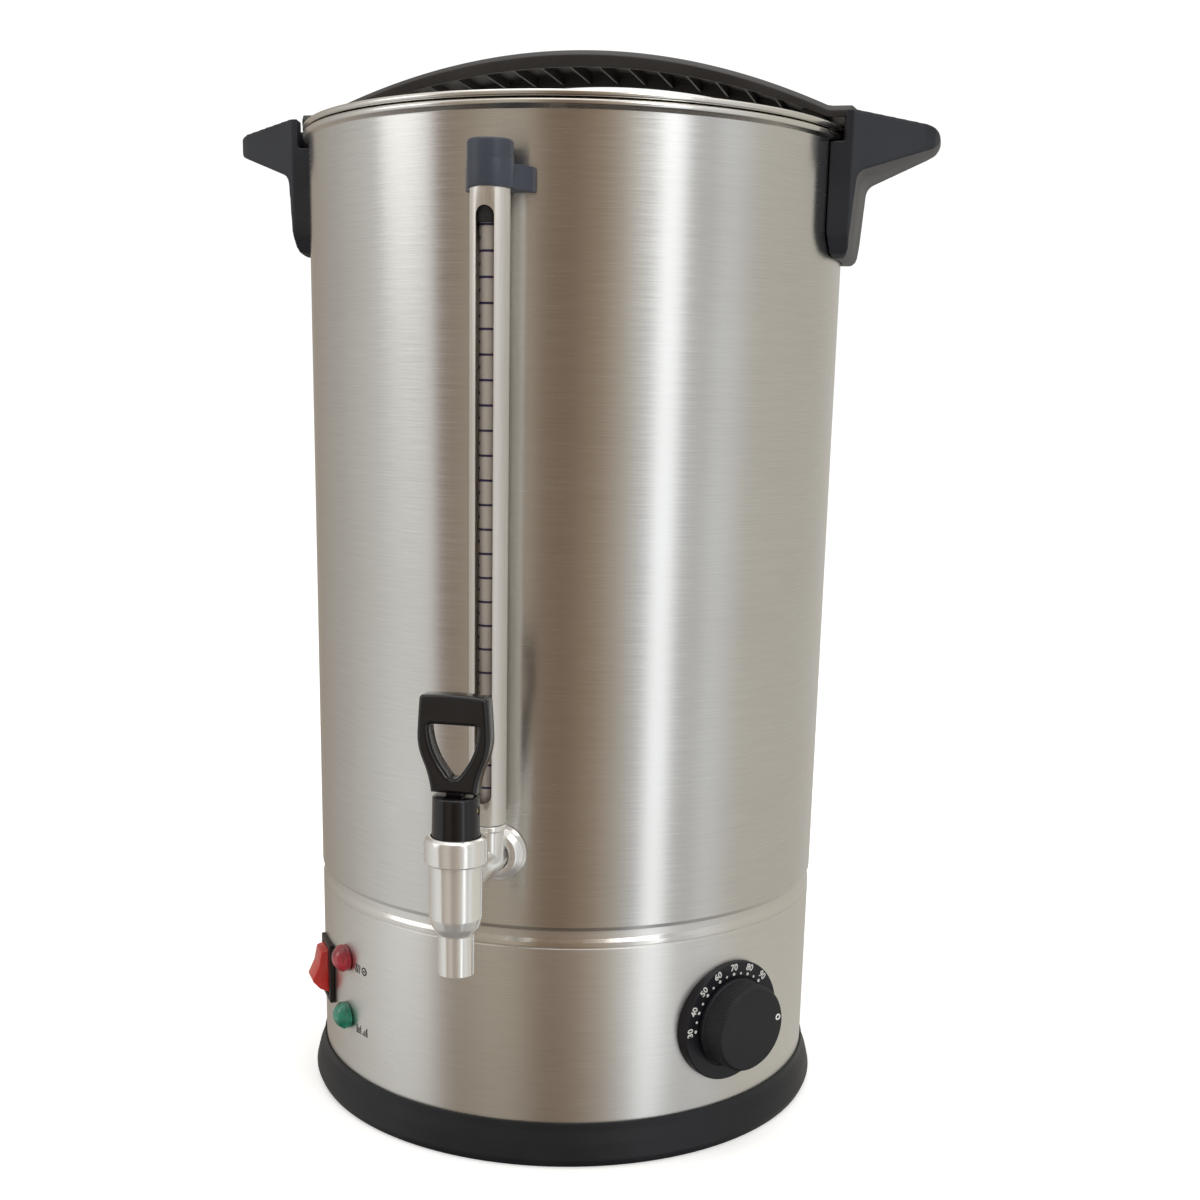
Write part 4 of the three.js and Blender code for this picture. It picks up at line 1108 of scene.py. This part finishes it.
def handle_mesh():
    side = [(150, 519.9), (164.4, 519.9)]
    side += curve_points((164.4, 519.9), (166.8, 521.2), (167.4, 526), 6)
    side += [(170.2, 561.2)] + curve_points((170.2, 561.2), (170.7, 565.8), (175, 567.2), 6)
    side += [(209.5, 579.8)] + curve_points((209.5, 579.8), (214.2, 582.2), (213.8, 587.2))
    side += curve_points((213.8, 587.2), (213.2, 591.9), (206, 593)) + [(168.5, 597.8), (150, 597.8)]
    half = HANDLE_HALF - 0.2
    plan = [(150, -half), (167, -half, 3), (206, -20, 4), (211.3, -15, 3), (213.7, -9, 3)]
    plan += [(x, -y, *radius) for x, y, *radius in reversed(plan)]
    front = [(-half, 610), (-half, 532, 5), (-35, 522.2, 5), (-24, 518.4, 5)]
    front += [(-y, z, *radius) for y, z, *radius in reversed(front)]
    body = linked("handle", prism(side, -half, half, "XZ"))
    carve(body, prism(fillet(plan), 510, 610), operation="INTERSECT")
    carve(body, prism(fillet(front), 150, 215, "YZ"), operation="INTERSECT")
    carve(body, wall(SHELL_R + 0.35, 500, LEDGE_Z))
    carve(body, wall(SLOT_R, LEDGE_Z - 0.2, 620))
    for ys, top in (((-27, 30), 585.8), ((2.8, 30), 620)):
        ring = lathe([(150, LEDGE_Z), (POCKET_R, LEDGE_Z), (POCKET_R, top), (150, top)], True, ROUND)
        space = linked("space", ring)
        carve(space, block((150, 190), ys, (LEDGE_Z - 1, top + 1)), operation="INTERSECT")
        carve(body, taken(space))
    soften(body, 0.8, 4)
    return body


def make_handles():
    right = handle_mesh()
    left = right.copy()
    left.data = right.data.copy()
    bpy.context.collection.objects.link(left)
    right.name = "grip_right"
    left.name = "grip_left"
    dress(right, "kettle", HANDLE_PLASTIC, ["handle_right"], angle=180)
    dress(left, "kettle", HANDLE_PLASTIC, ["handle_left"], angle=180, azimuth=180)


# ---------------------------------------------------------------- lid

LID_Z = 574
LID_SCREW_X = 142
BRIDGE_HALF = 32
BRIDGE_CREST = 634.6
BRIDGE_HEM = 625
CREST_DROP = 709
HEM_DROP = 781
BRIDGE_END = 152
HOOK_R = 167
RIB_PITCH = 240 / 14
SKIN = 2.4


def crest(x):
    return BRIDGE_CREST - min(abs(x), BRIDGE_END) ** 2 / CREST_DROP


def hem(x):
    return BRIDGE_HEM - min(abs(x), BRIDGE_END) ** 2 / HEM_DROP


def bridge_section(x):
    outer, inner = BRIDGE_HALF, BRIDGE_HALF - SKIN
    low, high = hem(x), crest(x)
    return fillet([
        (-outer, low, 0.5), (-inner, low, 0.5), (-inner, high - SKIN, 0.8), (inner, high - SKIN, 0.8),
        (inner, low, 0.5), (outer, low, 0.5), (outer, high - 3.2, 1.6), (outer - 3.4, high, 2.4),
        (3.4 - outer, high, 2.4), (-outer, high - 3.2, 1.6),
    ], True, 4)


def bridge_channel():
    bm = bmesh.new()
    stations = [-BRIDGE_END - 18 + 3 * k for k in range(round(2 * (BRIDGE_END + 18) / 3) + 1)]
    rings = []
    for x in stations:
        rings.append([bm.verts.new(Vector((x, y, z)) * MM) for y, z in bridge_section(x)])
    count = len(rings[0])
    for near, far in zip(rings, rings[1:]):
        for k in range(count):
            after = (k + 1) % count
            bm.faces.new([near[k], near[after], far[after], far[k]])
    bm.faces.new(rings[0])
    bm.faces.new(rings[-1])
    bmesh.ops.recalc_face_normals(bm, faces=bm.faces)
    return bm


def sector(inner, outer, low, high, ys, azimuth):
    """A piece of a ring about Z on the +X side, between two distances to the side."""
    ring = linked("sector", lathe([(inner, low), (outer, low), (outer, high), (inner, high)],
                                  True, ROUND))
    carve(ring, block((120, 200), ys, (low - 1, high + 1)), operation="INTERSECT")
    return rotated(taken(ring), azimuth, "Z")


def make_bridge():
    bridge = linked("lid_handle", bridge_channel())
    inner = BRIDGE_HALF - SKIN + 0.3
    ribs = []
    for k in range(-7, 8):
        x = k * RIB_PITCH
        ribs.append(block((x - 0.6, x + 0.6), (-inner, inner), (hem(x) + 1.5, crest(x) - SKIN + 0.3)))
    carve(bridge, joined(*ribs), operation="UNION")
    for low, high in ((136, 148), (-148, -136)):
        carve(bridge, block((low, high), (-24, 24), (LID_Z + 2.3, crest(148) - 1)), operation="UNION")
    carve(bridge, lathe([(0, 560), (HOOK_R, 560), (HOOK_R, 640), (0, 640)], steps=ROUND),
          operation="INTERSECT")
    for azimuth in (0, 180):
        carve(bridge, sector(164, HOOK_R, 582, 600.5, (-30, 30), azimuth), operation="UNION")
        carve(bridge, sector(165, 178, 582, 585.5, (4, 28), azimuth), operation="UNION")
    bevel(bridge, 0.35, 2, 50)
    dress(bridge, "lid", BRIDGE_PLASTIC, ["lid_bridge"], angle=35)


def make_lid_plate():
    profile = [
        (0, LID_Z + 0.4), (120, LID_Z + 0.4), (124, LID_Z, 2), (150.4, LID_Z, 0.5),
        (150.4, LID_Z + 2, 0.6), (149, LID_Z + 2, 0.5), (133, LID_Z + 1.2, 3), (126, LID_Z + 2, 3),
        (0, LID_Z + 2),
    ]
    piece("lid_disc", turned(profile, False, ROUND), "lid", STEEL_FLAT,
          ["lid_plate"])
    seal = [(151.0, 572.5, 0.3), (152.6, 572.6, 0.7), (152.2, 575, 0.5), (152.6, 577.4, 0.7),
            (151.0, 577.5, 0.3)]
    piece("lid_seal_ring", turned(seal, True, ROUND), "lid_seal", SILICONE,
          ["lid_gasket"])


for make in (make_shell, make_tank, make_skirt, make_base, make_screws, make_dial, make_knob,
             make_lamps, make_signs, make_switch, make_inlet, make_tap, make_lever, make_gauge,
             make_scale, make_cap, make_handles, make_bridge, make_lid_plate):
    make()

# ---------------------------------------------------------------- inner pieces that keep their CAD mesh

CARRIED = (
    (ALUMINIUM, ("heating_plate", "thermostat_body")),
    (HEATER_TUBE, ("heating_element",)),
    (SWITCH_PLASTIC, ("thermal_cutout", "lamp_red_body", "lamp_green_body")),
    (CERAMIC, ("terminal_block",)),
    (BRASS, ("thermostat_bulb", "thermostat_shaft")),
    (ZINC, ("thermostat_screw_1", "thermostat_screw_2", "handle_screw_left_1", "handle_screw_left_2",
            "handle_screw_right_1", "handle_screw_right_2", "tap_spring")),
    (CHROME, ("valve_stem",)),
    (SILICONE, ("valve_cup",)),
)
for material, nodes in CARRIED:
    for node in nodes:
        for material_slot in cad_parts[node].material_slots:
            material_slot.material = material
